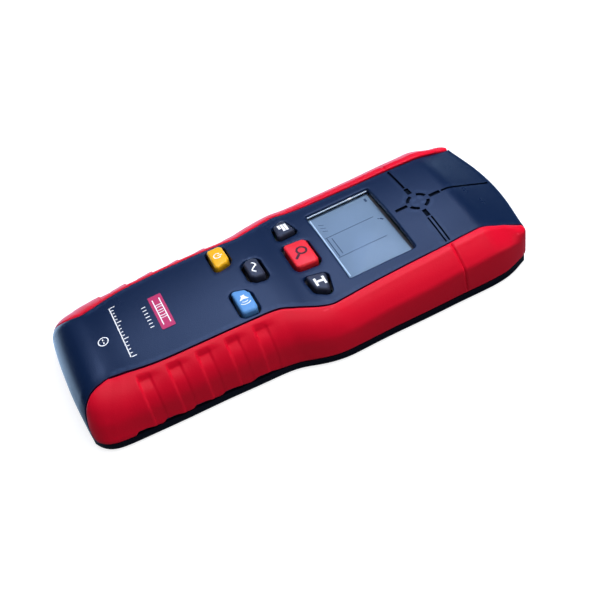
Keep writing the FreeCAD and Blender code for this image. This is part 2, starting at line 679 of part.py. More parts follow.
def make_lips():
    """Lips inside both flanks and the nose, right, left, nose."""
    low, high = FLOOR_TOP - ROOT, SPLIT + dim("lip_height")
    thickness = dim("lip_thickness")
    stand_off = dim("grip_thickness") + dim("wall_thickness") + LIP_CLEARANCE
    rail = [(value_at(BASE_HALF, y) - stand_off, y) for y in LIP_AT]
    rail += [(value_at(BASE_HALF, y) - stand_off - thickness, y) for y in reversed(LIP_AT)]
    lip = prism(rail, low, high)
    radius = dim("nose_radius") - NOSE_LIP_INSET
    centre_y = HALF_LENGTH - dim("nose_radius")
    nose_lip = post(radius, 0, centre_y, low, high)
    nose_lip = nose_lip.cut(post(radius - thickness, 0, centre_y, -5, 25))
    nose_lip = nose_lip.common(
        block(-NOSE_LIP_HALF_WIDTH, NOSE_LIP_HALF_WIDTH, 60, 120, -5, 30))
    return [lip, mirrored(lip), nose_lip]


def rear_additions():
    """Lips, case posts, sensor pegs and the battery bay's walls."""
    low = FLOOR_TOP - ROOT
    sensor_under = dim("sensor_under")
    parts = make_lips()
    for side in (-1, 1):
        for x, y in CASE_SCREWS:
            parts.append(post(REAR_POST_RADIUS, side * x, y, low, REAR_POST_TOP))
        for x, y in PEGS:
            parts.append(post(PEG_BASE_RADIUS, side * x, y, low, sensor_under))
            parts.append(post(dim("peg_radius"), side * x, y, low, sensor_under + PEG_HEIGHT))
        parts.append(side_block(side, BAY_INNER, BAY_OUTER, BAY_END, BAY_HEAD,
                                low, BAY_WALL_TOP))
        parts.append(side_block(side, CHEEK_INNER, BAY_OUTER, CHEEK_START, CHEEK_END,
                                low, CHEEK_TOP))
    parts.append(block(-BAY_OUTER, BAY_OUTER, BAY_END, BAY_END_INNER, low, BAY_END_TOP))
    return parts


def rear_cuts():
    """Doorway, room for the door's neck, pin bore and case screw holes."""
    half = DOOR_HALF + DOOR_CLEARANCE
    bore = cross_rod(dim("door_bore_radius"), 16.2, AXIS_Y, AXIS_Z)
    cuts = [block(-half, half, DOOR_END - DOOR_CLEARANCE, DOORWAY_HEAD, -1, FLOOR_TOP + 0.5),
            block(-NECK_ROOM_HALF, NECK_ROOM_HALF, NECK_ROOM_START,
                  AXIS_Y + NECK_ROOM_PAST_AXIS, -1, 6.0),
            bore.common(block(-BORE_HALF_LENGTH, BORE_HALF_LENGTH, -60, 0, -5, 10))]
    recess_top = dim("case_head_sunk") + dim("case_head_height") + 0.01
    for x, y in both_sides(CASE_SCREWS):
        cuts.append(post(dim("case_shank_radius") + SHANK_CLEARANCE, x, y, -1, 7))
        cuts.append(post(dim("case_head_radius") + HEAD_CLEARANCE, x, y, -1, recess_top))
    return cuts


def make_rear_cover():
    rear = outer.common(block(-REACH, REACH, -FAR, FAR, REAR_FACE, SPLIT))
    rear = rear.cut(cavity.common(block(-REACH, REACH, -FAR, FAR, FLOOR_TOP, REACH)))
    rear = rear.fuse(rear_additions())
    return largest(rear.cut(rear_cuts()))


feature("rear_cover", make_rear_cover())

# -------------------------------------------------------------- battery door
PLATE_HEAD = -39.2
NECK_HALF, NECK_START, NECK_TO_AXIS = 11.2, -39.3, 0.3
PIN_HALF_LENGTH = 13.8
TONGUE_HALF, TONGUE_START, TONGUE_END, TONGUE_TOP = 5.0, -85.6, -84.2, 6.4
# grooves across the outside of the door
DOOR_GROOVES_AT = (-82.4, -80.8, -79.2, -77.6)
DOOR_GROOVE_HALF, DOOR_GROOVE_WIDTH, DOOR_GROOVE_DEPTH = 6.0, 0.8, 0.35


def make_door():
    top = REAR_FACE + dim("door_thickness")
    plate = block(-DOOR_HALF, DOOR_HALF, DOOR_END, PLATE_HEAD, REAR_FACE, top)
    neck = block(-NECK_HALF, NECK_HALF, NECK_START, AXIS_Y - NECK_TO_AXIS, REAR_FACE, top)
    roll = cross_rod(dim("door_roll_radius"), NECK_HALF, AXIS_Y, AXIS_Z)
    pin = cross_rod(dim("door_pin_radius"), PIN_HALF_LENGTH, AXIS_Y, AXIS_Z)
    tongue = block(-TONGUE_HALF, TONGUE_HALF, TONGUE_START, TONGUE_END,
                   REAR_FACE + 1, TONGUE_TOP)
    door = plate.fuse([neck, roll, pin, tongue]).removeSplitter()
    grooves = [block(-DOOR_GROOVE_HALF, DOOR_GROOVE_HALF, y, y + DOOR_GROOVE_WIDTH,
                     0, REAR_FACE + DOOR_GROOVE_DEPTH) for y in DOOR_GROOVES_AT]
    return largest(door.cut(grooves))


feature("battery_door", make_door())


# --------------------------------------------------------------------- keys
def deck_form(y_min, y_max, rise):
    """Block under the display face between two y, its top raised by rise."""
    wires = []
    inside = [y for y in STATIONS if y_min + 1 < y < y_max - 1]
    for y in [y_min] + inside + [y_max]:
        half, edge_z = value_at(EDGE_HALF, y), value_at(EDGE_HEIGHT, y) + rise
        below = [(-half, edge_z), (-half, 5), (half, 5), (half, edge_z)]
        top = crown_arc(y, half, edge_z, value_at(CROWN, y))
        wires.append(Part.Wire([top] + lines(below, y)))
    return Part.makeLoft(wires, True, False)


def make_key(name, x, y, outline):
    """Column, flange and cap, the cap trimmed by the raised deck."""
    top = "dims." + name + "_top"
    body = new_body(name + "_moulding")
    sketch = new_sketch(body, name + "_column", offset="dims.key_foot")
    add_circle(sketch, "key_column_radius", x, y)
    pad(body, sketch, top + " - dims.key_flange_height + dims.key_column_sunk - dims.key_foot",
        name + "_column_pad")
    sketch = new_sketch(body, name + "_flange", offset=top + " - dims.key_flange_height")
    add_outline(sketch, grown(outline, KEY_FLANGE_RIM))
    pad(body, sketch, "dims.key_flange_height", name + "_flange_pad")
    sketch = new_sketch(body, name + "_cap", offset=top + " - dims.key_cap_sunk")
    add_outline(sketch, outline)
    pad(body, sketch, "dims.key_cap_height", name + "_cap_pad")
    key = doc.addObject("Part::Common", name)
    key.Base = body
    key.Tool = key_top_form


def make_pill(name, x, y):
    """Contact pill under a key's column."""
    pill = new_body(name.replace("_key", "_pill"))
    sketch = new_sketch(pill, name + "_pill_outline")
    add_circle(sketch, "pill_radius")
    pad(pill, sketch, "dims.pill_thickness", name + "_pill_pad")
    place(pill, x, y, dim("key_foot") - dim("pill_thickness"))


def make_mat():
    mat = new_body("key_mat")
    sketch = new_sketch(mat, "mat_outline")
    add_rectangle(sketch, "mat_width", "mat_length", 0, dim("mat_middle"))
    for x, y, outline in KEYS.values():
        add_circle(sketch, "mat_hole_radius", x, y)
    pad(mat, sketch, "dims.mat_thickness", "mat_pad")
    place(mat, 0, 0, dim("board_top") + dim("mat_gap"))


def make_contacts():
    contacts = new_body("key_contacts")
    sketch = new_sketch(contacts, "contact_outline")
    for x, y, outline in KEYS.values():
        add_circle(sketch, "pad_radius", x, y)
    pad(contacts, sketch, "dims.pad_thickness", "contact_pad")
    place(contacts, 0, 0, dim("board_top"))


key_top_form = feature("key_top_form", deck_form(-32.0, 20.0, dim("key_proud")))
for name, (x, y, outline) in KEYS.items():
    make_key(name, x, y, outline)
    make_pill(name, x, y)
make_mat()
make_contacts()


# ------------------------------------------------------------- display stack
def stack(height, along=0.0):
    """Point in the tilted stack over the display's middle."""
    return DISPLAY_MIDDLE + TILT.multVec(Vector(0, along, height))


def make_frame():
    frame = new_body("lcd_frame")
    sketch = new_sketch(frame, "frame_outline")
    add_rectangle(sketch, "frame_width", "frame_length")
    add_rectangle(sketch, "frame_opening_width", "frame_opening_length")
    pad(frame, sketch, "dims.frame_height", "frame_pad")
    place(frame, *stack(dim("frame_seat")), TILT)


slab("display_window", "window", stack(dim("window_seat")), TILT, "window_corner")
slab("lcd_glass", "glass", stack(dim("glass_seat")), TILT)
slab("lcd_backlight", "backlight",
     stack(dim("backlight_seat")) - Vector(0, dim("backlight_shift"), 0), TILT)
slab("zebra_strip", "zebra", stack(dim("zebra_seat"), dim("zebra_shift")), TILT)
make_frame()

# --------------------------------------------------------------- main board
# x, y of the middles of the parts on the board
MCU_AT = (2, 12)
CRYSTAL_AT = (-12, 2)
HEADER_AT = (0, 37.0)
BUZZER_AT = (15, -14)
CAPACITOR_AT = (-17, -14)
PASSIVES_AT = [(-14, 12), (-14, 16), (-10, 20), (12, 24), (16, 24), (20, 24), (14, 2),
               (18, 2), (-20, 30), (-16, 30), (20, 44), (-20, 44)]


def make_main_board():
    board = new_body("main_board")
    sketch = new_sketch(board, "board_outline")
    add_rectangle(sketch, "board_width", "board_length", 0, dim("board_middle"))
    for x, y in both_sides(BOARD_SCREWS):
        add_circle(sketch, "board_hole_radius", x, y)
    pad(board, sketch, "dims.board_thickness", "board_pad")
    place(board, 0, 0, BOARD_UNDER)


def make_passives():
    passives = new_body("chip_passives")
    sketch = new_sketch(passives, "passive_outline")
    for x, y in PASSIVES_AT:
        add_rectangle(sketch, "passive_width", "passive_length", x, y)
    pad(passives, sketch, "dims.passive_height", "passive_pad")
    place(passives, 0, 0, BOARD_UNDER - dim("passive_height"))


make_main_board()
slab("mcu_chip", "mcu", (*MCU_AT, BOARD_UNDER - dim("mcu_thickness")))
slab("crystal", "crystal", (*CRYSTAL_AT, BOARD_UNDER - dim("crystal_thickness")),
     corner="crystal_corner")
slab("board_header", "header", (*HEADER_AT, SENSOR_TOP))
make_passives()
drum("buzzer", "buzzer", *BUZZER_AT, BOARD_UNDER)
drum("filter_capacitor", "capacitor", *CAPACITOR_AT, BOARD_UNDER)

# ------------------------------------------------------- sensor board, coil
SENSOR_CHIP_AT = (-17, 41)
PLATES_AT = (45.0, COIL_Y, 81.0)   # y of the electrodes


def make_sensor_board():
    sensor = new_body("sensor_board")
    sketch = new_sketch(sensor, "sensor_outline")
    add_rectangle(sketch, "sensor_width", "sensor_length", 0, dim("sensor_middle"))
    for x, y in both_sides(PEGS):
        add_circle(sketch, "peg_hole_radius", x, y)
    pad(sensor, sketch, "dims.sensor_thickness", "sensor_pad")
    place(sensor, 0, 0, dim("sensor_under"))


def make_electrodes():
    plates = new_body("sensor_electrodes")
    sketch = new_sketch(plates, "plate_outline")
    for y in PLATES_AT:
        add_rectangle(sketch, "plate_width", "plate_length", 0, y)
    pad(plates, sketch, "dims.plate_thickness", "plate_pad")
    place(plates, 0, 0, dim("sensor_under") - dim("plate_thickness"))


def make_former():
    """Spool turned from a U-shaped profile."""
    former = new_body("coil_former")
    sketch = new_sketch(former, "former_profile", "XZ_Plane")
    bore, wall, rim = dim("former_bore"), dim("former_wall"), dim("former_flange")
    height, flange = dim("former_height"), dim("flange_thickness")
    add_outline(sketch, [(bore, 0), (rim, 0), (rim, flange), (wall, flange),
                         (wall, height - flange), (rim, height - flange),
                         (rim, height), (bore, height)])
    turned = former.newObject("PartDesign::Revolution", "former_turned")
    turned.Profile = sketch
    turned.ReferenceAxis = (sketch, ["V_Axis"])
    turned.Angle = 360.0
    former.Tip = turned
    place(former, 0, COIL_Y, SENSOR_TOP)


def make_coil():
    coil = new_body("detection_coil")
    sketch = new_sketch(coil, "coil_outline")
    add_circle(sketch, "coil_outer")
    add_circle(sketch, "coil_inner")
    pad(coil, sketch, "dims.coil_height", "coil_pad")
    place(coil, 0, COIL_Y, SENSOR_TOP + dim("flange_thickness") + dim("coil_gap"))


make_sensor_board()
make_electrodes()
slab("sensor_chip", "sensor_chip", (*SENSOR_CHIP_AT, SENSOR_TOP))
make_former()
make_coil()

# ------------------------------------------------------------ battery pieces
BATTERY_Z = dim("battery_axis_height")
BATTERY_HEAD = dim("battery_head")
SNAP_Y = BATTERY_HEAD + dim("snap_gap")
TERMINAL_X = dim("terminal_pitch") / 2     # stud at +x, socket at -x
FOAM_AT = (0, -85.1, 7.6)
# x, y beyond the snap, z of the right lead's points
LEAD_PATH = [(6.3, 0.05, 12.0), (6.4, 1.6, 11.4), (7.2, 3.6, 9.8), (7.6, 7.0, 10.2),
             (7.6, 9.0, BOARD_UNDER - 0.05)]


def make_battery():
    battery = new_body("battery")
    sketch = new_sketch(battery, "battery_outline", "XZ_Plane")
    add_rectangle(sketch, "battery_width", "battery_height")
    base = pad(battery, sketch, "dims.battery_body", "battery_pad", against_normal=True)
    round_edges(battery, base, "battery_corner", is_along_y, "battery_corners")
    place(battery, 0, dim("battery_end"), BATTERY_Z)


def make_terminals():
    terminals = new_body("battery_terminals")
    sketch = new_sketch(terminals, "terminal_outline", "XZ_Plane")
    add_circle(sketch, "stud_radius", TERMINAL_X)
    add_circle(sketch, "socket_radius", -TERMINAL_X)
    pad(terminals, sketch, "dims.terminal_length", "terminal_pad", against_normal=True)
    place(terminals, 0, BATTERY_HEAD, BATTERY_Z)


def make_snap():
    """Connector block with a pocket over each terminal."""
    snap = new_body("battery_snap")
    sketch = new_sketch(snap, "snap_outline", "XZ_Plane")
    add_rectangle(sketch, "snap_width", "snap_height")
    pad(snap, sketch, "dims.snap_depth", "snap_pad", against_normal=True)
    sketch = new_sketch(snap, "snap_sockets", "XZ_Plane")
    add_circle(sketch, "snap_stud_room", TERMINAL_X)
    add_circle(sketch, "snap_socket_room", -TERMINAL_X)
    pocket(snap, sketch, "dims.snap_room_depth", "snap_pocket")
    place(snap, 0, SNAP_Y, BATTERY_Z)


def make_lead(label, side):
    """Wire from the snap to the underside of the main board."""
    start_y = SNAP_Y + dim("snap_depth")
    path = Part.BSplineCurve()
    path.interpolate([Vector(side * x, start_y + y, z) for x, y, z in LEAD_PATH])
    edge = path.toShape()
    start = edge.valueAt(edge.FirstParameter)
    along = edge.tangentAt(edge.FirstParameter)
    ring = Part.Wire([Part.Circle(start, along, dim("lead_radius")).toShape()])
    feature(label, Part.Wire([edge]).makePipeShell([ring], True, True))


make_battery()
make_terminals()
make_snap()
slab("battery_foam", "foam", FOAM_AT)
make_lead("battery_lead_red", 1)
make_lead("battery_lead_black", -1)

# ------------------------------------------------------------------- screws
DRIVE_REACH, DRIVE_HALF_WIDTH = 0.62, 0.16     # shares of the head's radius


def cross_outline(x, y, reach, half):
    """Plus sign with arms out to reach and 2 * half wide."""
    corners = [(-half, -reach), (half, -reach), (half, -half), (reach, -half),
               (reach, half), (half, half), (half, reach), (-half, reach),
               (-half, half), (-reach, half), (-reach, -half), (-half, -half)]
    return [(x + right, y + up) for right, up in corners]


def make_screws(kind, places, z):
    """Cross-head screws with their heads' undersides towards +Z."""
    label = kind + "_screws"
    body = new_body(label)
    sketch = new_sketch(body, label + "_heads")
    for x, y in places:
        add_circle(sketch, kind + "_head_radius", x, y)
    pad(body, sketch, "dims." + kind + "_head_height", label + "_head_pad")
    sketch = new_sketch(body, label + "_shanks", offset="dims." + kind + "_head_height")
    for x, y in places:
        add_circle(sketch, kind + "_shank_radius", x, y)
    pad(body, sketch, "dims." + kind + "_shank_length", label + "_shank_pad")
    radius = dim(kind + "_head_radius")
    sketch = new_sketch(body, label + "_drives")
    for x, y in places:
        add_outline(sketch, cross_outline(x, y, radius * DRIVE_REACH,
                                          radius * DRIVE_HALF_WIDTH))
    pocket(body, sketch, "dims." + kind + "_drive_depth", label + "_drive_pocket",
           along_normal=True)
    place(body, 0, 0, z)


make_screws("case", both_sides(CASE_SCREWS), dim("case_head_sunk"))
make_screws("board", both_sides(BOARD_SCREWS), BOARD_UNDER - dim("board_head_height"))

# --------------------------------------------------- labels and glide strips
# x, y of the middles of the right-hand strips
HEAD_STRIP_AT = (33.0, 47.0)
TAIL_STRIP_AT = (26.0, -54.0)
BADGE_DECK = (-72.0, -40.0)        # y range of the deck forms that shape the badge


def make_strips():
    strips = new_body("glide_strips")
    sketch = new_sketch(strips, "strip_outline")
    for side in (-1, 1):
        for length, (x, y) in (("head_strip_length", HEAD_STRIP_AT),
                               ("tail_strip_length", TAIL_STRIP_AT)):
            add_rectangle(sketch, "strip_width", length, side * x, y)
    pad(strips, sketch, "dims.rear_face_height", "strip_pad")


def make_badge():
    """Thin label following the crown of the handle."""
    half_width, half_length = dim("badge_width") / 2, dim("badge_length") / 2
    middle, gap = dim("badge_middle"), dim("badge_gap")
    badge = block(-half_width, half_width, middle - half_length, middle + half_length, 20, 40)
    badge = badge.common(deck_form(*BADGE_DECK, dim("badge_thickness") + gap))
    return largest(badge.cut(deck_form(*BADGE_DECK, gap)))


slab("rear_label", "label", (0, dim("label_middle"), REAR_FACE - dim("label_thickness")),
     corner="label_corner")
make_strips()
feature("badge_label", make_badge())

# --------------------------------------------------------- checks and files
doc.recompute()
NODES = ["front_cover", "rear_cover", "right_grip", "left_grip", "display_window", "lcd_frame",
         "lcd_glass", "lcd_backlight", "zebra_strip", "key_mat", "key_contacts", "main_board",
         "mcu_chip", "crystal", "chip_passives", "filter_capacitor", "buzzer", "board_header",
         "sensor_board", "sensor_chip", "sensor_electrodes", "coil_former", "detection_coil",
         "battery", "battery_terminals", "battery_snap", "battery_lead_red",
         "battery_lead_black", "battery_foam", "battery_door", "case_screws", "board_screws",
         "glide_strips", "rear_label", "badge_label"]
for name in KEYS:
    NODES += [name, name.replace("_key", "_pill")]

failed = []
for item in doc.Objects:
    if "Invalid" in item.State or "Error" in item.State:
        failed.append(item.Name + " " + str(item.State))
for label in NODES:
    found = doc.getObjectsByLabel(label)
    if len(found) != 1:
        failed.append("%s found %d times" % (label, len(found)))
        continue
    shape = found[0].Shape
    if shape.isNull() or not shape.isValid() or not shape.Solids:
        failed.append(label + " has no valid solid")
if failed:
    raise SystemExit("failed: " + "; ".join(failed))

os.makedirs("parts", exist_ok=True)
for label in NODES:
    shape = doc.getObjectsByLabel(label)[0].Shape
    shape.exportStep(os.path.join("parts", label + ".step"))
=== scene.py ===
# Hand-held wall detector lying on its back, display face up.
# x is its width, y its length (handle's butt at -y, nose of the head at +y), z up.
# The form is written in millimetres; lights, floor and materials are in metres.
import bmesh
import bpy
import json
import math
import numpy as np
from mathutils import Matrix, Vector
from mathutils.geometry import delaunay_2d_cdt


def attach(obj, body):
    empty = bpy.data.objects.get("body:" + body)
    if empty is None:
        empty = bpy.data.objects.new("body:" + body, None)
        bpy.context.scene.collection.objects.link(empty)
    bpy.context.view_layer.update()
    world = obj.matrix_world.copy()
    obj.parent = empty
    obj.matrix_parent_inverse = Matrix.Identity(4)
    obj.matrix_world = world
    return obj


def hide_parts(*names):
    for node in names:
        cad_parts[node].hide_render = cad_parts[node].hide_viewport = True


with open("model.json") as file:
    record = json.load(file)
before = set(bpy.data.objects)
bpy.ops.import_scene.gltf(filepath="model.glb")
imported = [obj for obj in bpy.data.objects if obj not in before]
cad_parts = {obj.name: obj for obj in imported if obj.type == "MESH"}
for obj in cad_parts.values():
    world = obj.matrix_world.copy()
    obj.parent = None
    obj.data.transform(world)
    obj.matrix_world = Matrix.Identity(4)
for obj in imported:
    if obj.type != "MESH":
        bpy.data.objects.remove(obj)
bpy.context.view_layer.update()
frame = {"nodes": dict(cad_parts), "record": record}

MM = 0.001
HOUSING = "housing"


# ------------------------------------------------------------ number helpers
def pchip(xs, ys, x):
    """Monotone cubic through the points (Fritsch-Carlson)."""
    xs, ys = np.asarray(xs, float), np.asarray(ys, float)
    x = np.clip(np.asarray(x, float), xs[0], xs[-1])
    gap = np.diff(xs)
    slope = np.diff(ys) / gap
    tangent = np.zeros(len(xs))
    tangent[0], tangent[-1] = slope[0], slope[-1]
    for i in range(1, len(xs) - 1):
        if slope[i - 1] * slope[i] > 0:
            before = 2 * gap[i] + gap[i - 1]
            after = gap[i] + 2 * gap[i - 1]
            tangent[i] = (before + after) / (before / slope[i - 1] + after / slope[i])
    k = np.clip(np.searchsorted(xs, x) - 1, 0, len(gap) - 1)
    return cubic((x - xs[k]) / gap[k], gap[k], ys[k], ys[k + 1], tangent[k], tangent[k + 1])


def cubic(t, gap, start, end, start_tangent, end_tangent):
    """Hermite cubic over one gap, t running from 0 to 1."""
    return ((2 * t**3 - 3 * t**2 + 1) * start + (t**3 - 2 * t**2 + t) * gap * start_tangent
            + (-2 * t**3 + 3 * t**2) * end + (t**3 - t**2) * gap * end_tangent)


def follow(table, x):
    """Value at x of a table of (station, value) pairs."""
    return pchip(*np.array(table, float).T, x)


def smooth(low, high, x):
    t = np.clip((np.asarray(x, float) - low) / (high - low), 0, 1)
    return t * t * (3 - 2 * t)


# ------------------------------------------------------- form of the casing
# (y, half width of the base outline)
BASE = [
    (-91, 35.9), (-85, 36.4), (-75, 36.5), (-60, 36.5), (-45, 36.2), (-30, 36.4), (-20, 36.4),
    (-12, 37.3), (-5.8, 39.4), (0.5, 41.2), (6, 42.0), (15, 41.8), (30, 41.2), (45, 41.0),
    (60, 40.5), (72, 40.3), (80, 39.8), (85, 38.6), (90, 36.6), (93.5, 34.9)]
# (y, half width of the display face)
EDGE = [
    (-91, 18.9), (-85, 19.3), (-78, 20.0), (-72, 21.3), (-66, 22.3), (-60, 22.8), (-45, 23.25),
    (-30, 23.4), (-21, 23.35), (-16, 23.25), (-13.4, 23.25), (-12.1, 23.5), (-10.5, 24.0),
    (-5.8, 25.65), (0.5, 27.9), (4.5, 29.35), (6, 29.8), (7.4, 30.0), (9.2, 29.85), (18, 28.8),
    (30, 28.1), (45, 27.5), (60, 27.2), (72, 26.6), (77, 26.45), (79.5, 26.7), (85, 27.6),
    (90, 28.4), (95, 29.2), (101, 29.8)]
# (y, height of the display face at its side edges)
RISE = [
    (-101, 21.8), (-84, 22.2), (-75, 22.9), (-60, 23.5), (-45, 24.0), (-30, 24.3), (-20, 24.2),
    (-12, 23.7), (-5.8, 22.8), (0.5, 21.6), (6, 20.8), (15, 20.3), (30, 20.8), (45, 21.4),
    (60, 22.0), (70, 22.4), (77, 22.5), (79, 22.2), (85, 20.3), (90, 18.7), (95, 17.1),
    (101, 15.2)]
# (y, extra height of the display face on its middle line)
CROWN = [(-101, 1.0), (-80, 1.4), (-20, 1.4), (15, 1.8), (30, 2.0), (80, 2.0), (95, 1.4),
         (101, 1.2)]


def face_z(x, y):
    """Height of the display face."""
    x, y = np.asarray(x, float), np.asarray(y, float)
    return follow(RISE, y) + follow(CROWN, y) * (1 - (x / follow(EDGE, y)) ** 2)


# Rays of the right side, from the middle of the butt round to the middle of the nose:
# (x, y) on the base outline, (x, y) on the display face's edge.
RAYS = [
    ((0, -100), (0, -84)), ((10, -99.9), (6.5, -84)), ((20, -99.4), (13, -84)),
    ((26, -98.95), (16.6, -84)), ((29.6, -98.3), (18.2, -83.75)), ((32.2, -96.9), (18.9, -83.2)),
    ((34.2, -94.7), (19.2, -82.3)), ((35.5, -91.6), (19.55, -80.5)), ((36.2, -87.5), (20.0, -78.1))]
SIDE_STATIONS = (-82, -76, -70, -64, -58, -52, -46, -40, -34, -28, -22, -17, -12, -7, -2, 3, 8, 13,
                 20, 28, 36, 44, 52, 58, 63, 68, 73, 78, 82, 86, 90)
for base_y in SIDE_STATIONS:
    # near the butt the rays lean towards the nose as they rise
    edge_y = base_y + 5.0 * max(0.0, (-64 - base_y) / 18.0) ** 1.5
    RAYS.append(((float(follow(BASE, base_y)), base_y), (float(follow(EDGE, edge_y)), edge_y)))
RAYS += [
    ((34.9, 93.4), (29.0, 93.2)), ((33.3, 95.5), (29.4, 94.6)), ((31.4, 96.35), (29.3, 95.2)),
    ((28.6, 96.7), (27.4, 95.6)), ((22, 97.75), (21.4, 96.5)), ((14, 99.05), (13.7, 97.7)),
    ((7, 99.77), (6.9, 98.4)), ((0, 100.0), (0, 98.65))]

# Flank sections at ten even steps from base to face:
# (outward share of the ray, share of the face's height)
SECTION_STEPS = np.linspace(0, 1, 10)
ROUND = [(1, 0), (1, .152), (.946, .3), (.845, .52), (.74, .645), (.605, .755), (.445, .85),
         (.28, .92), (.14, .967), (0, 1)]
SQUARE = [(1, 0), (.975, .17), (.95, .5), (.915, .765), (.76, .86), (.60, .925), (.43, .985),
          (.26, 1.035), (.13, 1.035), (0, 1)]
BUTT = [(1, 0), (1, .2), (1, .42), (.965, .60), (.87, .75), (.72, .865), (.54, .94), (.35, .98),
        (.16, .995), (0, 1)]
NOSE = [(1, 0), (1, .2), (1, .45), (1, .65), (1, .82), (.98, .91), (.86, .962), (.6, .987),
        (.3, .997), (0, 1)]
# (y, share of the square section on the sides)
SQUARENESS = [(-101, 0), (-22, 0), (-8, .03), (2, .1), (12, .22), (25, .40), (50, .56), (62, .70),
              (72, .74), (82, .92), (90, 1), (101, 1)]
BASE_Z = 0.5
CORNER_PULL = 0.075     # how far the butt's corners are drawn in, as a share of the ray

# rows of base x, base y, edge x, edge y, and the running length along them
controls = np.array([[*base, *edge] for base, edge in RAYS], float)
control_steps = np.diff(controls, axis=0)
stations = np.concatenate([[0], np.cumsum(np.hypot(control_steps[:, 0] + 0.5 * control_steps[:, 2],
                                                   control_steps[:, 1] + 0.5 * control_steps[:, 3]))])
NOSE_BLEND = stations[len(RAYS) - 10], stations[len(RAYS) - 6]


def ray_points(along):
    """Smooth curve through the control rows (finite-difference tangents)."""
    gap = np.diff(stations)
    slope = control_steps / gap[:, None]
    weight = (gap[:-1] / (gap[:-1] + gap[1:]))[:, None]
    tangent = np.zeros_like(controls)
    tangent[1:-1] = slope[:-1] * (1 - weight) + slope[1:] * weight
    # symmetric about the middle plane at both ends
    tangent[0] = [slope[0][0], 0, slope[0][2], 0]
    tangent[-1] = [slope[-1][0], 0, slope[-1][2], 0]
    k = np.clip(np.searchsorted(stations, along) - 1, 0, len(gap) - 1)
    t = ((along - stations[k]) / gap[k])[:, None]
    return cubic(t, gap[k][:, None], controls[k], controls[k + 1], tangent[k], tangent[k + 1])


def section(along, t):
    """Points of the right flank on the rays `along`: t = 0 at the base, 1 at the face's edge."""
    points = ray_points(along)
    base, edge = points[:, :2], points[:, 2:]
    butt = 1 - smooth(stations[2], stations[7], along)
    nose = smooth(*NOSE_BLEND, along)
    square = follow(SQUARENESS, edge[:, 1]) * (1 - nose) * (1 - butt)
    plain_round = np.clip(1 - butt - nose - square, 0, 1)
    outward = np.zeros(len(base))
    upward = np.zeros(len(base))
    for style, weight in ((ROUND, plain_round), (SQUARE, square), (BUTT, butt), (NOSE, nose)):
        style = np.array(style, float)
        outward += weight * pchip(SECTION_STEPS, style[:, 0], t)
        upward += weight * pchip(SECTION_STEPS, style[:, 1], t)
    corner = (smooth(stations[2], stations[5], along)
              * (1 - smooth(stations[6], stations[10], along)))
    outward = outward * (1 - CORNER_PULL * corner * smooth(0.14, 0.42, t))
    top = face_z(edge[:, 0], edge[:, 1])
    return np.column_stack([edge + (base - edge) * outward[:, None],
                            BASE_Z + upward * (top - BASE_Z)])


def flank_grid(along, t):
    """Flank points at matching 2-D arrays of ray and height parameters."""
    return section(along.ravel(), t.ravel()).reshape(along.shape + (3,))


def flank_normals(along, t):
    """Outward unit normals at matching 2-D arrays."""
    step_along, step_t = 0.15, 0.02
    across = (flank_grid(np.clip(along + step_along, stations[0], stations[-1]), t)
              - flank_grid(np.clip(along - step_along, stations[0], stations[-1]), t))
    rising = (flank_grid(along, np.clip(t + step_t, 0, 1))
              - flank_grid(along, np.clip(t - step_t, 0, 1)))
    normal = np.cross(across, rising)
    return normal / np.maximum(np.linalg.norm(normal, axis=-1, keepdims=True), 1e-9)


def t_at_height(along, z):
    """Height parameter at which each ray reaches z, by bisection."""
    low, high = np.zeros(len(along)), np.full(len(along), 0.6)
    for _ in range(30):
        middle = (low + high) / 2
        above = section(along, middle)[:, 2] > z
        high = np.where(above, middle, high)
        low = np.where(above, low, middle)
    return (low + high) / 2


# ------------------------------------------------------------- plane outlines
def inside(outline, points):
    """Mask of the points inside a closed outline."""
    outline = np.asarray(outline, float)
    x, y = points[:, 0], points[:, 1]
    result = np.zeros(len(points), bool)
    j = len(outline) - 1
    for i in range(len(outline)):
        xi, yi = outline[i]
        xj, yj = outline[j]
        rise = (yj - yi) if yj != yi else 1e-12
        result ^= ((yi > y) != (yj > y)) & (x < (xj - xi) * (y - yi) / rise + xi)
        j = i
    return result


def rounded(corners, radius, step):
    """Closed outline with rounded corners, sampled evenly and anticlockwise."""
    corners = [np.array(corner, float) for corner in corners]
    count = len(corners)
    area = sum(corners[i][0] * corners[(i + 1) % count][1]
               - corners[(i + 1) % count][0] * corners[i][1] for i in range(count))
    if area < 0:
        corners = corners[::-1]
    bent = []
    for i in range(count):
        corner, before, after = corners[i], corners[i - 1], corners[(i + 1) % count]
        reach_before = np.linalg.norm(before - corner)
        reach_after = np.linalg.norm(after - corner)
        to_before = (before - corner) / reach_before
        to_after = (after - corner) / reach_after
        half = math.acos(np.clip(to_before @ to_after, -1, 1)) / 2
        fitted = min(radius, 0.49 * min(reach_before, reach_after) * math.tan(half))
        if fitted < 0.02:
            bent.append(corner)
            continue
        cut = fitted / math.tan(half)
        bisector = (to_before + to_after) / np.linalg.norm(to_before + to_after)
        centre = corner + bisector * (fitted / math.sin(half))
        start = math.atan2(*(corner + to_before * cut - centre)[::-1])
        end = math.atan2(*(corner + to_after * cut - centre)[::-1])
        turn = (end - start + math.pi) % (2 * math.pi) - math.pi
        samples = max(2, int(abs(turn) * fitted / (step * 0.6)) + 2)
        for share in np.linspace(0, 1, samples):
            angle = start + turn * share
            bent.append(centre + fitted * np.array([math.cos(angle), math.sin(angle)]))
    # divide the long straight runs
    even = []
    for i, point in enumerate(bent):
        after = bent[(i + 1) % len(bent)]
        pieces = max(1, int(np.linalg.norm(after - point) / step))
        for j in range(pieces):
            even.append(point + (after - point) * j / pieces)
    even = np.array(even)
    keep = [0]
    for i in range(1, len(even)):
        if np.linalg.norm(even[i] - even[keep[-1]]) > 0.03:
            keep.append(i)
    return even[keep]


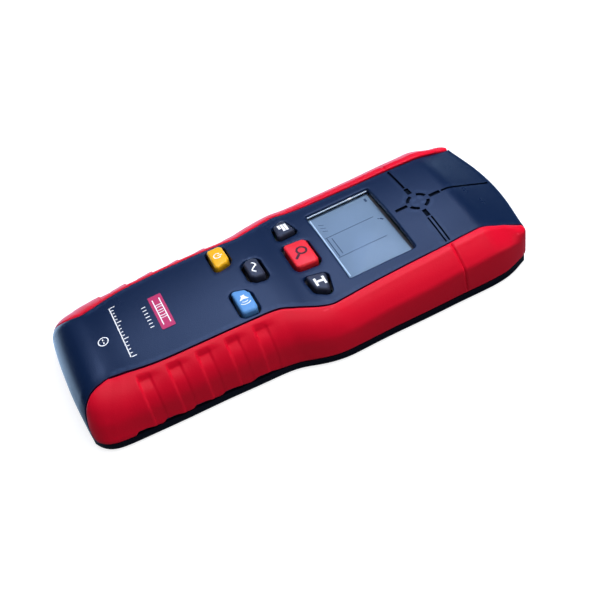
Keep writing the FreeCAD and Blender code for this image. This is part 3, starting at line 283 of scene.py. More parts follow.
def offset(loop, distance):
    """Anticlockwise loop moved outwards along its normals."""
    tangent = np.roll(loop, -1, 0) - np.roll(loop, 1, 0)
    tangent /= np.maximum(np.linalg.norm(tangent, axis=1, keepdims=True), 1e-9)
    return loop + np.column_stack([tangent[:, 1], -tangent[:, 0]]) * distance


def rectangle(x0, y0, x1, y1):
    return [(x0, y0), (x1, y0), (x1, y1), (x0, y1)]


def circle(centre_x, centre_y, radius, count):
    angle = np.arange(count) / count * 2 * math.pi
    return np.column_stack([centre_x + radius * np.cos(angle), centre_y + radius * np.sin(angle)])


def bar(x0, y0, x1, y1, width, step=0.8, least=1):
    """Straight strip of the given width, its long sides divided."""
    start, end = np.array([x0, y0]), np.array([x1, y1])
    direction = np.array([x1 - x0, y1 - y0], float)
    length = np.linalg.norm(direction)
    direction /= length
    side = np.array([-direction[1], direction[0]]) * width / 2
    pieces = max(least, int(length / step))
    right = [start + (end - start) * i / pieces - side for i in range(pieces + 1)]
    left = [end + (start - end) * i / pieces + side for i in range(pieces + 1)]
    return np.array(right + left)


def bars(*rows):
    """Bars from rows of start x, start y, end x, end y, width."""
    return [bar(*row) for row in rows]


def arc_band(centre_x, centre_y, radius, width, start, end, count=24):
    """Curved strip between two angles in degrees."""
    angle = np.radians(np.linspace(start, end, count))
    outer, inner = radius + width / 2, radius - width / 2
    back = angle[::-1]
    return np.vstack([
        np.column_stack([centre_x + outer * np.cos(angle), centre_y + outer * np.sin(angle)]),
        np.column_stack([centre_x + inner * np.cos(back), centre_y + inner * np.sin(back)])])


def wave_band(x0, x1, centre_y, height, width, count=40):
    """Strip along one turn of a sine wave."""
    xs = np.linspace(x0, x1, count)
    middle = np.column_stack([xs, centre_y + height * np.sin((xs - x0) / (x1 - x0) * 2 * math.pi)])
    tangent = np.gradient(middle, axis=0)
    tangent /= np.linalg.norm(tangent, axis=1, keepdims=True)
    side = np.column_stack([-tangent[:, 1], tangent[:, 0]]) * width / 2
    return np.vstack([middle - side, (middle + side)[::-1]])


def triangulate(loops, points):
    """Constrained Delaunay of closed loops and free points.

    Gives the points, the triangles, and the new index of each source point.
    """
    sources = [Vector((float(p[0]), float(p[1]))) for loop in [*loops, points] for p in loop]
    edges = []
    first = 0
    for loop in loops:
        count = len(loop)
        edges += [(first + i, first + (i + 1) % count) for i in range(count)]
        first += count
    result = delaunay_2d_cdt(sources, edges, [], 0, 1e-5, True)
    flat = np.array([[v.x, v.y] for v in result[0]])
    triangles = np.array([list(face) for face in result[2]], int)
    index_of = {ids[0]: i for i, ids in enumerate(result[3]) if ids}
    return flat, triangles, index_of


def lattice(x0, x1, y0, y1, step):
    """Points of a triangular lattice."""
    return np.array([(x + (step / 2 if j % 2 else 0), y)
                     for j, y in enumerate(np.arange(y0, y1, step * 0.87))
                     for x in np.arange(x0, x1, step)])


def near_loop(loop, points, distance):
    """Mask of points nearer than distance to a loop's vertices."""
    nearest = np.full(len(points), 1e9)
    for i in range(0, len(loop), 64):
        gaps = points[:, None, :] - loop[i:i + 64][None]
        nearest = np.minimum(nearest, (gaps ** 2).sum(-1).min(1))
    return nearest < distance * distance


# ----------------------------------------------------------------- materials
MIX_FACTOR, MIX_A, MIX_B, MIX_RESULT = 0, 6, 7, 2   # colour sockets of the Mix node
MATERIALS = {}


def empty_tree(owner):
    owner.use_nodes = True
    owner.node_tree.nodes.clear()
    return owner.node_tree


def add(tree, kind, inputs=None, **settings):
    """Add a shader node; each input is a value or a socket to link from."""
    node = tree.nodes.new("ShaderNode" + kind)
    for name, value in settings.items():
        setattr(node, name, value)
    for key, value in (inputs or {}).items():
        if isinstance(value, bpy.types.NodeSocket):
            tree.links.new(value, node.inputs[key])
        else:
            node.inputs[key].default_value = value
    return node


def mix_color(tree, factor, first, second):
    node = add(tree, "Mix", {MIX_FACTOR: factor, MIX_A: first, MIX_B: second}, data_type="RGBA")
    return node.outputs[MIX_RESULT]


def mix_shader(tree, factor, first, second):
    return add(tree, "MixShader", {0: factor, 1: first, 2: second}).outputs[0]


def finish(key, color, rough=0.5, bump=0.0, bump_scale=900.0, spec=0.5, metallic=0.0,
           edge_wear_and_highlight=None, vary=0.05, vary_scale=25.0):
    """Mottled finish; the edge-wear argument is (colour painted on the convex edges, its strength):
    partly edge wear, partly painted highlight where the rounded edges catch light.
    """
    material = bpy.data.materials.new(key + "_finish")
    tree = empty_tree(material)
    position = add(tree, "TexCoord").outputs["Object"]
    broad = add(tree, "TexNoise", {"Scale": vary_scale, "Detail": 4,
                                   "Vector": position}).outputs["Fac"]
    color = np.array(color)
    shade = mix_color(tree, broad, (*np.clip(color * (1 - vary), 0, 1), 1),
                      (*np.clip(color * (1 + vary), 0, 1), 1))
    # lighter colour on the convex edges, found by pointiness: partly edge wear, partly painted
    # highlight
    if edge_wear_and_highlight:
        worn_or_lit_edge_color, strength = edge_wear_and_highlight
        pointiness = add(tree, "NewGeometry").outputs["Pointiness"]
        edges = add(tree, "MapRange", {"From Min": 0.52, "From Max": 0.62, "Value": pointiness})
        amount = add(tree, "Math", {0: edges.outputs[0], 1: strength}, operation="MULTIPLY")
        shade = mix_color(tree, amount.outputs[0], shade, (*worn_or_lit_edge_color, 1))
    roughness = add(tree, "MapRange", {"To Min": max(0.02, rough - 0.06),
                                       "To Max": min(1.0, rough + 0.06), "Value": broad})
    surface = {"Base Color": shade, "Roughness": roughness.outputs[0], "Metallic": metallic,
               "Specular IOR Level": spec}
    if bump:
        fine = add(tree, "TexNoise", {"Scale": bump_scale, "Detail": 3, "Vector": position})
        surface["Normal"] = add(tree, "Bump", {"Strength": bump, "Distance": 0.0002,
                                               "Height": fine.outputs["Fac"]}).outputs[0]
    shader = add(tree, "BsdfPrincipled", surface)
    add(tree, "OutputMaterial", {0: shader.outputs[0]})
    MATERIALS[key] = material


def window_finish():
    """Clear pane that reflects only on its outer side."""
    material = bpy.data.materials.new("window_clear_finish")
    tree = empty_tree(material)
    clear = add(tree, "BsdfTransparent", {0: (0.93, 0.96, 0.99, 1)})
    gloss = add(tree, "BsdfGlossy", {"Roughness": 0.07})
    fresnel = add(tree, "Fresnel", {"IOR": 1.22})
    position = add(tree, "TexCoord").outputs["Object"]
    noise = add(tree, "TexNoise", {"Scale": 60, "Vector": position})
    roughness = add(tree, "MapRange", {"To Min": 0.04, "To Max": 0.12,
                                       "Value": noise.outputs["Fac"]})
    tree.links.new(roughness.outputs[0], gloss.inputs["Roughness"])
    backfacing = add(tree, "NewGeometry").outputs["Backfacing"]
    front = add(tree, "Math", {0: 1.0, 1: backfacing}, operation="SUBTRACT")
    factor = add(tree, "Math", {0: fresnel.outputs[0], 1: front.outputs[0]}, operation="MULTIPLY")
    glass = mix_shader(tree, factor.outputs[0], clear.outputs[0], gloss.outputs[0])
    add(tree, "OutputMaterial", {0: glass})
    MATERIALS["window_clear"] = material


# the lighter edge colours below are partly wear, partly painted highlight on the rounded edges
finish("cover_black", (0.0018, 0.0095, 0.038), rough=0.29, bump=0.3, bump_scale=2600, vary=0.10,
       edge_wear_and_highlight=((0.04, 0.07, 0.15), 0.5), spec=0.52)
finish("rear_black", (0.003, 0.004, 0.011), rough=0.5, bump=0.4, bump_scale=2200, vary=0.12,
       edge_wear_and_highlight=((0.015, 0.02, 0.035), 0.35), spec=0.15)
finish("grip_red", (0.61, 0.0006, 0.018), rough=0.42, bump=0.3, bump_scale=1700, vary=0.06,
       edge_wear_and_highlight=((0.82, 0.09, 0.14), 0.22), spec=0.30)
for key, color in (("key_yellow", (0.76, 0.39, 0.006)), ("key_blue", (0.085, 0.25, 0.55)),
                   ("key_red", (0.66, 0.016, 0.026))):
    finish(key, color, rough=0.38, bump=0.2, bump_scale=2000, vary=0.04)
finish("key_dark", (0.026, 0.03, 0.052), rough=0.42, bump=0.25, bump_scale=2000, vary=0.08)
finish("print_white", (0.80, 0.82, 0.85), bump=0.15, vary=0.03)
finish("print_dark", (0.05, 0.01, 0.015), bump=0.15, vary=0.03)
finish("badge_red", (0.42, 0.025, 0.105), rough=0.4, bump=0.1, vary=0.04)
finish("lcd_grey", (0.18, 0.235, 0.305), rough=0.4, bump=0.05, vary=0.10, vary_scale=60)
finish("segment", (0.035, 0.055, 0.10), vary=0.03)
# near-black floor of the head's grooves: painted shade in the recesses
finish("groove_painted_shade", (0.002, 0.004, 0.009), rough=0.7, bump=0.3, vary=0.1, spec=0.15)
# light strips on the window's edges: painted highlight
finish("painted_highlight", (0.50, 0.60, 0.72), rough=0.35, bump=0.2, vary=0.08, spec=0.6)
finish("bezel", (0.03, 0.04, 0.07), rough=0.35, bump=0.2, vary=0.06)
window_finish()
# plain finishes of the CAD parts: name, colour, roughness
PLAIN_FINISHES = (
    ("frame_grey", (0.12, 0.12, 0.13), 0.5), ("diffuser_white", (0.8, 0.82, 0.85), 0.4),
    ("silicone_grey", (0.08, 0.08, 0.09), 0.6), ("board_green", (0.01, 0.09, 0.03), 0.35),
    ("chip_black", (0.012, 0.012, 0.013), 0.5), ("battery_grey", (0.05, 0.05, 0.055), 0.4),
    ("lead_red", (0.5, 0.01, 0.01), 0.4), ("lead_black", (0.01, 0.01, 0.01), 0.4),
    ("foam_grey", (0.05, 0.05, 0.05), 0.9), ("felt_grey", (0.02, 0.02, 0.022), 0.95),
    ("label_silver", (0.42, 0.42, 0.44), 0.4), ("carbon_black", (0.01, 0.01, 0.01), 0.7))
for key, color, rough in PLAIN_FINISHES:
    finish(key, color, rough, bump=0.3, bump_scale=1500, vary=0.08)
finish("gold_plate", (0.83, 0.62, 0.25), rough=0.25, metallic=1.0, bump=0.1)
finish("copper_wire", (0.70, 0.32, 0.14), rough=0.3, metallic=1.0, bump=0.6, bump_scale=600)
finish("can_steel", (0.62, 0.62, 0.64), rough=0.25, metallic=1.0, bump=0.2, bump_scale=800)
finish("screw_steel", (0.45, 0.45, 0.47), rough=0.3, metallic=1.0, bump=0.3, bump_scale=1200)

cad_slots = {part["node"]: part["material_slot"] for part in frame["record"]["subparts"]}
for node, cad_part in frame["nodes"].items():
    key = "rear_black" if node in ("rear_cover", "battery_door") else cad_slots[node]
    cad_part.data.materials.clear()
    cad_part.data.materials.append(MATERIALS[key])


# -------------------------------------------------------------- mesh helpers
def make(name, verts, faces, material, sharp, body=HOUSING, stands=(),
         second=None, picked=()):
    """Object from millimetre points; the picked faces take the second material."""
    mesh = bpy.data.meshes.new(name)
    mesh.from_pydata((np.asarray(verts, float) * MM).tolist(), [],
                     [list(map(int, face)) for face in faces])
    if second:
        indices = np.zeros(len(mesh.polygons), np.int32)
        indices[list(picked)] = 1
        mesh.polygons.foreach_set("material_index", indices)
    mesh.validate()
    mesh.polygons.foreach_set("use_smooth", [True] * len(mesh.polygons))
    mesh.update()
    mesh.set_sharp_from_angle(angle=math.radians(sharp))
    made = bpy.data.objects.new(name, mesh)
    bpy.context.scene.collection.objects.link(made)
    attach(made, body)
    mesh.materials.append(MATERIALS[material])
    if second:
        mesh.materials.append(MATERIALS[second])
    if stands:
        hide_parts(*stands)
    turn_outwards(mesh)
    return made


def turn_outwards(mesh):
    work = bmesh.new()
    work.from_mesh(mesh)
    bmesh.ops.recalc_face_normals(work, faces=work.faces)
    work.to_mesh(mesh)
    work.free()


def band(first, second):
    """Quads between two closed rings of indices, each starting across the band."""
    count = len(first)
    return [[first[i], second[i], second[(i + 1) % count], first[(i + 1) % count]]
            for i in range(count)]


def band_along(first, second):
    """The same quads, each starting along the first ring."""
    return [[a, d, c, b] for a, b, c, d in band(first, second)]


def stacked_bands(levels, count):
    """Quads joining rings of equal count that lie one after another in the mesh."""
    rings = [range(k * count, (k + 1) * count) for k in range(levels)]
    return [quad for low, high in zip(rings, rings[1:]) for quad in band_along(low, high)]


# -------------------------------------------------------------- key outlines
def mirrored(outline):
    return [(-x, y) for x, y in reversed(outline)]


POWER_OUTLINE = [(-19.9, -26.4), (-20.9, -25.6), (-21.1, -20.6), (-19.6, -19.5), (-11.6, -19.5),
                 (-9.3, -21.0), (-8.0, -25.6), (-9.0, -26.6)]
AC_OUTLINE = [(-4.2, -15.9), (-5.7, -14.0), (-5.95, -10.6), (-4.7, -9.6), (4.7, -9.6),
              (5.95, -10.6), (5.7, -14.0), (4.2, -15.9)]
ZOOM_OUTLINE = [(-6.6, 3.1), (-7.7, 4.3), (-7.7, 12.0), (-6.2, 13.4), (6.2, 13.4), (7.7, 12.0),
                (7.7, 4.3), (6.6, 3.1)]
WOOD_OUTLINE = [(-21.6, 4.8), (-24.2, 8.9), (-23.6, 10.3), (-14.8, 12.5), (-13.6, 4.6),
                (-14.4, 3.9)]
# name: (outline, material)
KEYS = {
    "power_key": (POWER_OUTLINE, "key_yellow"),
    "ac_key": (AC_OUTLINE, "key_dark"),
    "zoom_key": (ZOOM_OUTLINE, "key_red"),
    "wood_key": (WOOD_OUTLINE, "key_dark"),
    "sound_key": (mirrored(POWER_OUTLINE), "key_blue"),
    "metal_key": (mirrored(WOOD_OUTLINE), "key_dark"),
}

# --------------------------------------------------------------- front cover
SPLIT_Z = 3.7           # joint line with the rear cover
WALL = 1.8              # flank wall thickness
FACE_WALL = 2.0         # display face thickness
GRIP_SINK = 1.45        # how far the cover lies back under the grips
KEY_GAP, AC_GAP = 1.1, 1.45     # wells are this much wider than the keys
WINDOW_X = 21.8
WINDOW_Y0, WINDOW_Y1 = 20.0, 50.4
# rounded rims of the openings: (distance outwards, height above the face)
WELL_RIM = [(0.0, -0.55), (0.10, -0.22), (0.26, -0.05), (0.45, 0.0)]
WINDOW_RIM = [(0.0, -0.62), (0.18, -0.30), (0.42, -0.08), (0.75, 0.0)]
PLAIN_RIM = [(0.0, 0.0)]
GROOVE_DEPTH = 0.85
GROOVE_SLOPE = 0.14     # width of a groove's sloping wall

# the rays that carry vertices, denser round the butt's corner where the grip ends
rays = np.unique(np.concatenate([np.linspace(stations[0], stations[-1], 420),
                                 np.linspace(stations[2], stations[8], 90)]))
rays = rays[np.concatenate([[True], np.diff(rays) > 0.12])]
rays[-1] = stations[-1]
RAY_COUNT = len(rays)

# where the grip starts on the butt: (height parameter, x of the ray's base point)
GRIP_START = [
    (0.0, 33.6), (0.09, 32.0), (0.12, 30.4), (0.174, 28.2), (0.249, 26.7), (0.341, 25.7),
    (0.436, 25.1), (0.571, 24.9), (0.65, 25.3), (0.725, 26.05), (0.82, 27.6), (0.912, 29.5),
    (0.96, 31.3), (1.0, 33.7)]
base_x = ray_points(rays)[:, 0]
butt_rays = int(np.argmax(base_x > 35.0)) + 1
# the grip ends on the nose's corner, at x = 31.2
GRIP_END = float(np.interp(-31.2, -base_x[-60:], rays[-60:]))


def grip_start(t):
    """Ray parameter of the grip's butt-side boundary at height parameter t."""
    return np.interp(follow(GRIP_START, t), base_x[:butt_rays], rays[:butt_rays])


def closed(right):
    """Right half loop (butt to nose) closed with its mirror image, anticlockwise."""
    left = right[1:-1][::-1].copy()
    left[:, 0] *= -1
    return np.vstack([right, left])


def opening_loops():
    """(name, outline) of the key wells and the window opening."""
    loops = []
    for name, (outline, _) in KEYS.items():
        gap = AC_GAP if name == "ac_key" else KEY_GAP
        loops.append((name, rounded(offset(rounded(outline, 1.3, 0.5), gap), 0.0, 0.5)))
    window = rectangle(-WINDOW_X, WINDOW_Y0, WINDOW_X, WINDOW_Y1)
    return loops + [("window", rounded(window, 0.9, 0.6))]


# Grooves of the head: a broken ring with four arms, a centre line and side lines.
# Straight ones are rows of start x, start y, end x, end y, width.
STRAIGHT_GROOVES = [
    (-10.2, 63.3, -5.9, 63.3, 2.0), (5.9, 63.3, 10.2, 63.3, 2.0), (0, 69.3, 0, 74.4, 1.9),
    (0, 53.0, 0, 58.6, 1.7), (0, 75.0, 0, 98.1, 1.05), (10.9, 62.4, 26.2, 62.25, 0.75),
    (10.9, 64.05, 26.2, 63.85, 0.75), (-26.2, 63.1, -10.8, 63.1, 1.1)]
grooves = [arc_band(0, 63.8, 4.35, 1.5, 90 * quarter + 18, 90 * quarter + 72, count=14)
           for quarter in range(4)]
grooves += [bar(*row, step=1.2, least=2) for row in STRAIGHT_GROOVES]


def face_patch(openings, drop, rim, step, detailed):
    """Triangulated sheet that lies `drop` below the display face, within the loop rim.

    Gives the points, triangles, indices of the rim and of each opening's loop.
    """
    loops, heights = [rim[:, :2]], [np.zeros(len(rim))]
    first_of = {}
    for name, outline in openings:
        profile = (WINDOW_RIM if name == "window" else WELL_RIM) if detailed else PLAIN_RIM
        first_of[name] = sum(len(loop) for loop in loops)
        for distance, height in profile:
            loops.append(offset(outline, distance))
            heights.append(np.full(len(outline), height))
    keep_out = [offset(outline, 0.9) for _, outline in openings]
    if detailed:
        for groove in grooves:
            loops += [groove, offset(groove, -GROOVE_SLOPE)]
            heights += [np.zeros(len(groove)), np.full(len(groove), -GROOVE_DEPTH)]
            keep_out.append(offset(groove, 0.3))
    points = lattice(-32, 32, -90, 101, step)
    points = points[inside(rim[:, :2], points) & ~near_loop(rim[:, :2], points, step * 0.55)]
    for loop in keep_out:
        points = points[~inside(loop, points)]
        points = points[~near_loop(loop, points, step * 0.3)]
    flat, triangles, index_of = triangulate(loops, points)
    heights = np.concatenate(heights)
    z = face_z(flat[:, 0], flat[:, 1]) - drop
    for source, i in index_of.items():
        if source < len(rim):
            z[i] = rim[source, 2]
        elif source < len(heights):
            z[i] += heights[source]
    middles = flat[triangles].mean(1)
    keep = inside(rim[:, :2], middles)
    for _, outline in openings:
        keep &= ~inside(outline, middles)
    rim_indices = [index_of[i] for i in range(len(rim))]
    opening_indices = {name: [index_of[first_of[name] + i] for i in range(len(outline))]
                       for name, outline in openings}
    return np.column_stack([flat, z]), triangles[keep], rim_indices, opening_indices


def flank_rows():
    """Right-half rows of the cover, down the outside to the joint and back up the inside."""
    row_t = np.concatenate([1 - np.array([0.012, 0.03, 0.055, 0.085]),
                            np.linspace(0.88, 0.17, 34)])
    last = len(row_t) - 1
    split_t = t_at_height(rays, SPLIT_Z)
    along = np.repeat(rays[:, None], len(row_t), 1)
    t = np.maximum(np.repeat(row_t[None, :], RAY_COUNT, 0), split_t[:, None])
    for j in range(1, len(row_t)):
        t[:, j] = np.minimum(t[:, j], t[:, j - 1] - 1e-4)
    t[:, last] = split_t
    normals = flank_normals(along, t)
    # rough distance in mm inside the grip's area
    within = np.minimum.reduce([(along - grip_start(t)) * 0.85, (GRIP_END - along) * 0.9,
                                (1 - t) * 24.0])
    sink = GRIP_SINK * smooth(-0.05, 0.30, within)
    points = flank_grid(along, t) - normals * sink[..., None]
    inner_rows = []
    for j in (last, len(row_t) // 2, 8, 2):
        row = points[:, j] - normals[:, j] * WALL
        row[[0, -1], 0] = 0
        if j == last:
            row[:, 2] = SPLIT_Z
        inner_rows.append(row)
    return [points[:, j] for j in range(len(row_t))] + inner_rows


def inner_face_rim(right):
    """Right half of the face's underside rim, drawn in from the outer one."""
    rim = right - np.column_stack([np.sign(right[:, 0]) * 0.9, np.zeros(RAY_COUNT),
                                   np.full(RAY_COUNT, FACE_WALL)])
    rim[:, 1] += np.where(rim[:, 1] > 90, -1.0, np.where(rim[:, 1] < -80, 1.0, 0.0))
    rim[[0, -1], 0] = 0.0
    return rim


def front_cover():
    openings = opening_loops()
    face_rim = section(rays, 1.0)
    top, top_triangles, ring, top_openings = face_patch(
        openings, drop=0.0, rim=closed(face_rim), step=1.5, detailed=True)
    under, under_triangles, under_rim, under_openings = face_patch(
        openings, drop=FACE_WALL, rim=closed(inner_face_rim(face_rim)), step=4.0, detailed=False)
    verts = [top]
    faces = top_triangles.tolist()
    count = len(top)
    for row in flank_rows():
        loop = closed(row)
        verts.append(loop)
        next_ring = list(range(count, count + len(loop)))
        faces += band(ring, next_ring)
        ring = next_ring
        count += len(loop)
    verts.append(under)
    faces += band(ring, [count + i for i in under_rim])
    faces += [[count + a, count + c, count + b] for a, b, c in under_triangles.tolist()]
    for name, loop in top_openings.items():
        faces += band_along(loop, [count + i for i in under_openings[name]])
    # the grooves' floors take a near-black second finish: painted shade in the grooves
    middles = top[top_triangles].mean(1)[:, :2]
    groove_shade_faces = np.zeros(len(top_triangles), bool)
    for groove in grooves:
        groove_shade_faces |= inside(offset(groove, -0.03), middles)
    make("front_cover_shell", np.vstack(verts), faces, "cover_black", sharp=40,
         stands=("front_cover",), second="groove_painted_shade", picked=np.nonzero(groove_shade_faces)[0].tolist())


front_cover()

# --------------------------------------------------------------------- grips
GRIP_COLUMNS, GRIP_ROWS = 460, 54
GRIP_TOP_T = 0.962              # height parameter of the upper edge
GRIP_PROUD = 0.16               # the grip stands this far out of the envelope
GRIP_INNER = 1.38               # its inside lies this far within the envelope
GRIP_ROLL = 0.75                # radius of its rounded edge
FLUTES = [-74.2, -61.9, -49.6, -37.4, -25.2]    # y where each finger flute starts
SEAM_Y = 62.9


def low_edge(y):
    """Height of the grip's lower edge; it rises at the flutes."""
    z = np.full(np.shape(y), 4.0)
    for flute in FLUTES:
        z = z + (1.2 * smooth(flute - 2.5, flute + 1.5, y)
                 * (1 - smooth(flute + 4.0, flute + 9.5, y)))
    return z


def eased(count, share):
    """Steps from 0 to 1, the given share of them crowded towards both ends."""
    even = np.linspace(0, 1, count)
    return (1 - share) * even + share * (0.5 - 0.5 * np.cos(np.pi * even))


def grip_parameters():
    """Ray and height parameters of the grip, as columns by rows."""
    start = grip_start(np.zeros(1))[0]
    low_rays = start + (GRIP_END - start) * np.linspace(0, 1, GRIP_COLUMNS)
    low_t = t_at_height(low_rays, low_edge(section(low_rays, 0.1)[:, 1]))[:, None]
    t = low_t + (GRIP_TOP_T - low_t) * eased(GRIP_ROWS, 0.45)[None, :]
    first = grip_start(t) + 0.7
    return first + (GRIP_END - 0.4 - first) * eased(GRIP_COLUMNS, 0.25)[:, None], t


def rolled(distance, radius):
    """Drop of a quarter-round edge at a distance from the rim."""
    share = np.clip(distance / radius, 0, 1)
    return -radius * (1 - np.sqrt(1 - (1 - share) ** 2))


def grip_section_rings():
    """One closed ring of points per column: outside up, inside back down."""
    along, t = grip_parameters()
    points = flank_grid(along, t)
    normals = flank_normals(along, t)
    row_steps = np.linalg.norm(np.diff(points, axis=1), axis=2)
    column_steps = np.linalg.norm(np.diff(points, axis=0), axis=2)
    from_low = np.concatenate([np.zeros((GRIP_COLUMNS, 1)), np.cumsum(row_steps, 1)], 1)
    from_butt = np.concatenate([np.zeros((1, GRIP_ROWS)), np.cumsum(column_steps, 0)], 0)
    from_top = from_low[:, -1:] - from_low
    rim = np.minimum.reduce([from_top, from_low * 1.2, from_butt, from_butt[-1:] - from_butt])
    y, z = points[..., 1], points[..., 2]
    # finger flutes: a steep step on the butt's side, then a slow return
    flutes = np.zeros_like(y)
    for flute in FLUTES:
        flutes += (smooth(flute - 0.25, flute + 0.45, y)
                   * (1 - smooth(flute + 4.6, flute + 5.6, y) * 0.45)
                   * (1 - smooth(flute + 5.4, flute + 11.4, y)))
    below_top = np.clip((from_top - 2.7) / 2.9, 0, 1)
    depth = 0.42 + 0.72 * np.exp(-((from_top - 6.2) / 3.4) ** 2)
    out = GRIP_PROUD + rolled(rim, GRIP_ROLL) - depth * flutes * below_top
    # thin valley line within each flute
    for flute in FLUTES:
        out = out - 0.12 * np.exp(-((y - flute - 5.2) / 0.5) ** 2) * below_top
    # seam groove across the head
    seam = np.exp(-((y - SEAM_Y - 0.02 * (22 - z)) / 0.42) ** 4)
    out = out - 0.55 * seam * smooth(0.3, 1.0, rim)
    inner = (points - normals * GRIP_INNER)[:, ::-1][:, ::6]
    return np.concatenate([points + normals * out[..., None], inner], 1)


def grip(side, sign, rings):
    verts = rings.reshape(-1, 3).copy()
    verts[:, 0] *= sign
    columns = np.arange(len(verts)).reshape(rings.shape[:2]).tolist()
    faces = []
    for column, after in zip(columns, columns[1:]):
        faces += band(column, after)
    faces += [columns[0][::-1], columns[-1]]
    make(side + "_grip_shell", verts, faces, "grip_red", sharp=50, stands=(side + "_grip",))


grip_rings = grip_section_rings()
grip("right", 1, grip_rings)
grip("left", -1, grip_rings)

# ---------------------------------------------------------------------- keys
KEY_PROUD = 1.75                # height of a key's rim above the face
KEY_DOME = 0.28                 # further rise of its middle
KEY_ROLL = 1.1                  # radius of its rounded edge
KEY_WALL_HEIGHTS = (-4.2, -1.0)     # of the lower rings, from the face


def key_cap(name, outline, material):
    """Build a key; gives the height function of its top."""
    loop = rounded(outline, 1.5, 0.45)
    levels = [(0.0, height) for height in KEY_WALL_HEIGHTS]
    for share in np.linspace(0, 1, 8):
        angle = share * math.pi / 2
        levels.append((-KEY_ROLL * (1 - math.cos(angle)),
                       KEY_PROUD + KEY_ROLL * math.sin(angle) - KEY_ROLL))
    rim = offset(loop, levels[-1][0])

    def top_z(x, y):
        gaps = np.column_stack([x, y])[:, None, :] - rim[None]
        from_rim = np.sqrt((gaps ** 2).sum(-1).min(1))
        return face_z(x, y) + KEY_PROUD + KEY_DOME * smooth(0, 4.0, from_rim)

    verts = []
    for distance, height in levels[:-1]:
        ring = offset(loop, distance)
        verts.append(np.column_stack([ring, face_z(ring[:, 0], ring[:, 1]) + height]))
    centre_x, centre_y = loop.mean(0)
    half_x, half_y = np.abs(loop - loop.mean(0)).max(0)
    points = lattice(centre_x - half_x, centre_x + half_x, centre_y - half_y, centre_y + half_y, 0.9)
    points = points[inside(rim, points) & ~near_loop(rim, points, 0.5)]
    flat, triangles, index_of = triangulate([rim], points)
    triangles = triangles[inside(rim, flat[triangles].mean(1))]
    count = len(loop)
    cap = len(verts) * count
    faces = stacked_bands(len(verts), count)
    faces += band_along(range(cap - count, cap), [cap + index_of[i] for i in range(count)])
    faces += (triangles + cap).tolist()
    faces.append(list(range(count))[::-1])
    verts.append(np.column_stack([flat, top_z(flat[:, 0], flat[:, 1])]))
    make(name + "_cap", np.vstack(verts), faces, material, sharp=50, body=name + "_body",
         stands=(name,))
    return top_z


key_tops = {name: key_cap(name, outline, material) for name, (outline, material) in KEYS.items()}

# ------------------------------------------------------------- printed marks
PRINT_STEP = 0.8                # lattice step within a mark
PRINT_ROOT = 0.06               # a mark's underside lies this far below the surface


def print_mark(name, outlines, surface, material, body=HOUSING, holes=(), lift=0.035):
    """A thin inlay draped over a surface: outlines minus holes."""
    verts, faces = [], []
    first = 0
    for outline in outlines:
        own = [hole for hole in holes if inside(outline, np.array([hole.mean(0)]))[0]]
        loops = [outline] + own
        low, high = outline.min(0), outline.max(0)
        points = lattice(low[0], high[0], low[1], high[1], PRINT_STEP)
        points = points[inside(outline, points) & ~near_loop(outline, points, PRINT_STEP * 0.5)]
        for hole in own:
            points = points[~inside(offset(hole, PRINT_STEP * 0.4), points)]
        flat, triangles, index_of = triangulate(loops, points)
        middles = flat[triangles].mean(1)
        keep = inside(outline, middles)
        for hole in own:
            keep &= ~inside(hole, middles)
        triangles = triangles[keep].tolist()
        z = np.asarray(surface(flat[:, 0], flat[:, 1]))
        verts += [np.column_stack([flat, z + lift]), np.column_stack([flat, z - PRINT_ROOT])]
        under = first + len(flat)
        faces += [[first + a, first + b, first + c] for a, b, c in triangles]
        faces += [[under + a, under + c, under + b] for a, b, c in triangles]
        start = 0
        for loop in loops:
            ring = [index_of[start + i] for i in range(len(loop))]
            faces += band([first + i for i in ring], [under + i for i in ring])
            start += len(loop)
        first += 2 * len(flat)
    return make(name, np.vstack(verts), faces, material, sharp=40, body=body)


def key_mark(name, outlines, holes=(), material="print_white"):
    key = name + "_key"
    print_mark(name + "_mark", outlines, key_tops[key], material,
               body=key + "_body", holes=holes)


key_mark("power", [arc_band(-14.8, -23.2, 1.5, 0.42, 125, 415),
                   bar(-14.8, -23.0, -14.8, -21.1, 0.42)])
key_mark("ac", [wave_band(-2.9, 2.9, -12.6, 1.15, 0.62)])
SPEAKER = np.array([(12.2, -23.8), (13.2, -23.8), (14.6, -25.0), (14.6, -21.0), (13.2, -22.2),
                    (12.2, -22.2)])
key_mark("sound", [SPEAKER] + [arc_band(14.4, -23.0, radius, 0.36, -48, 48)
                               for radius in (1.6, 2.8)])
# magnifying glass
key_mark("zoom", [circle(-0.8, 9.0, 2.5, 40), bar(1.0, 7.1, 3.1, 5.0, 1.15)],
         holes=[circle(-0.8, 9.0, 1.6, 32)], material="print_dark")
# I-beam
key_mark("metal", bars((16.7, 10.0, 20.9, 10.0, 1.0), (16.7, 6.4, 20.9, 6.4, 1.0),
                       (18.8, 6.9, 18.8, 9.5, 1.1)))
# three planks
key_mark("wood", bars((-20.9, 9.6, -16.3, 9.6, 1.15), (-20.9, 8.2, -16.3, 8.2, 1.15),
                      (-20.9, 6.8, -18.2, 6.8, 1.15)))

# badge and marks of the handle
BADGE_LIFT = 0.16
badge = rounded(rectangle(-9.9, -57.0, 9.9, -51.2), 0.5, 0.8)
badge_plate = print_mark("badge_plate", [badge], face_z, "badge_red",
                         lift=BADGE_LIFT)
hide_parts("badge_label")


def badge_z(x, y):
    """Just under the badge's top."""
    return face_z(x, y) + BADGE_LIFT - 0.01


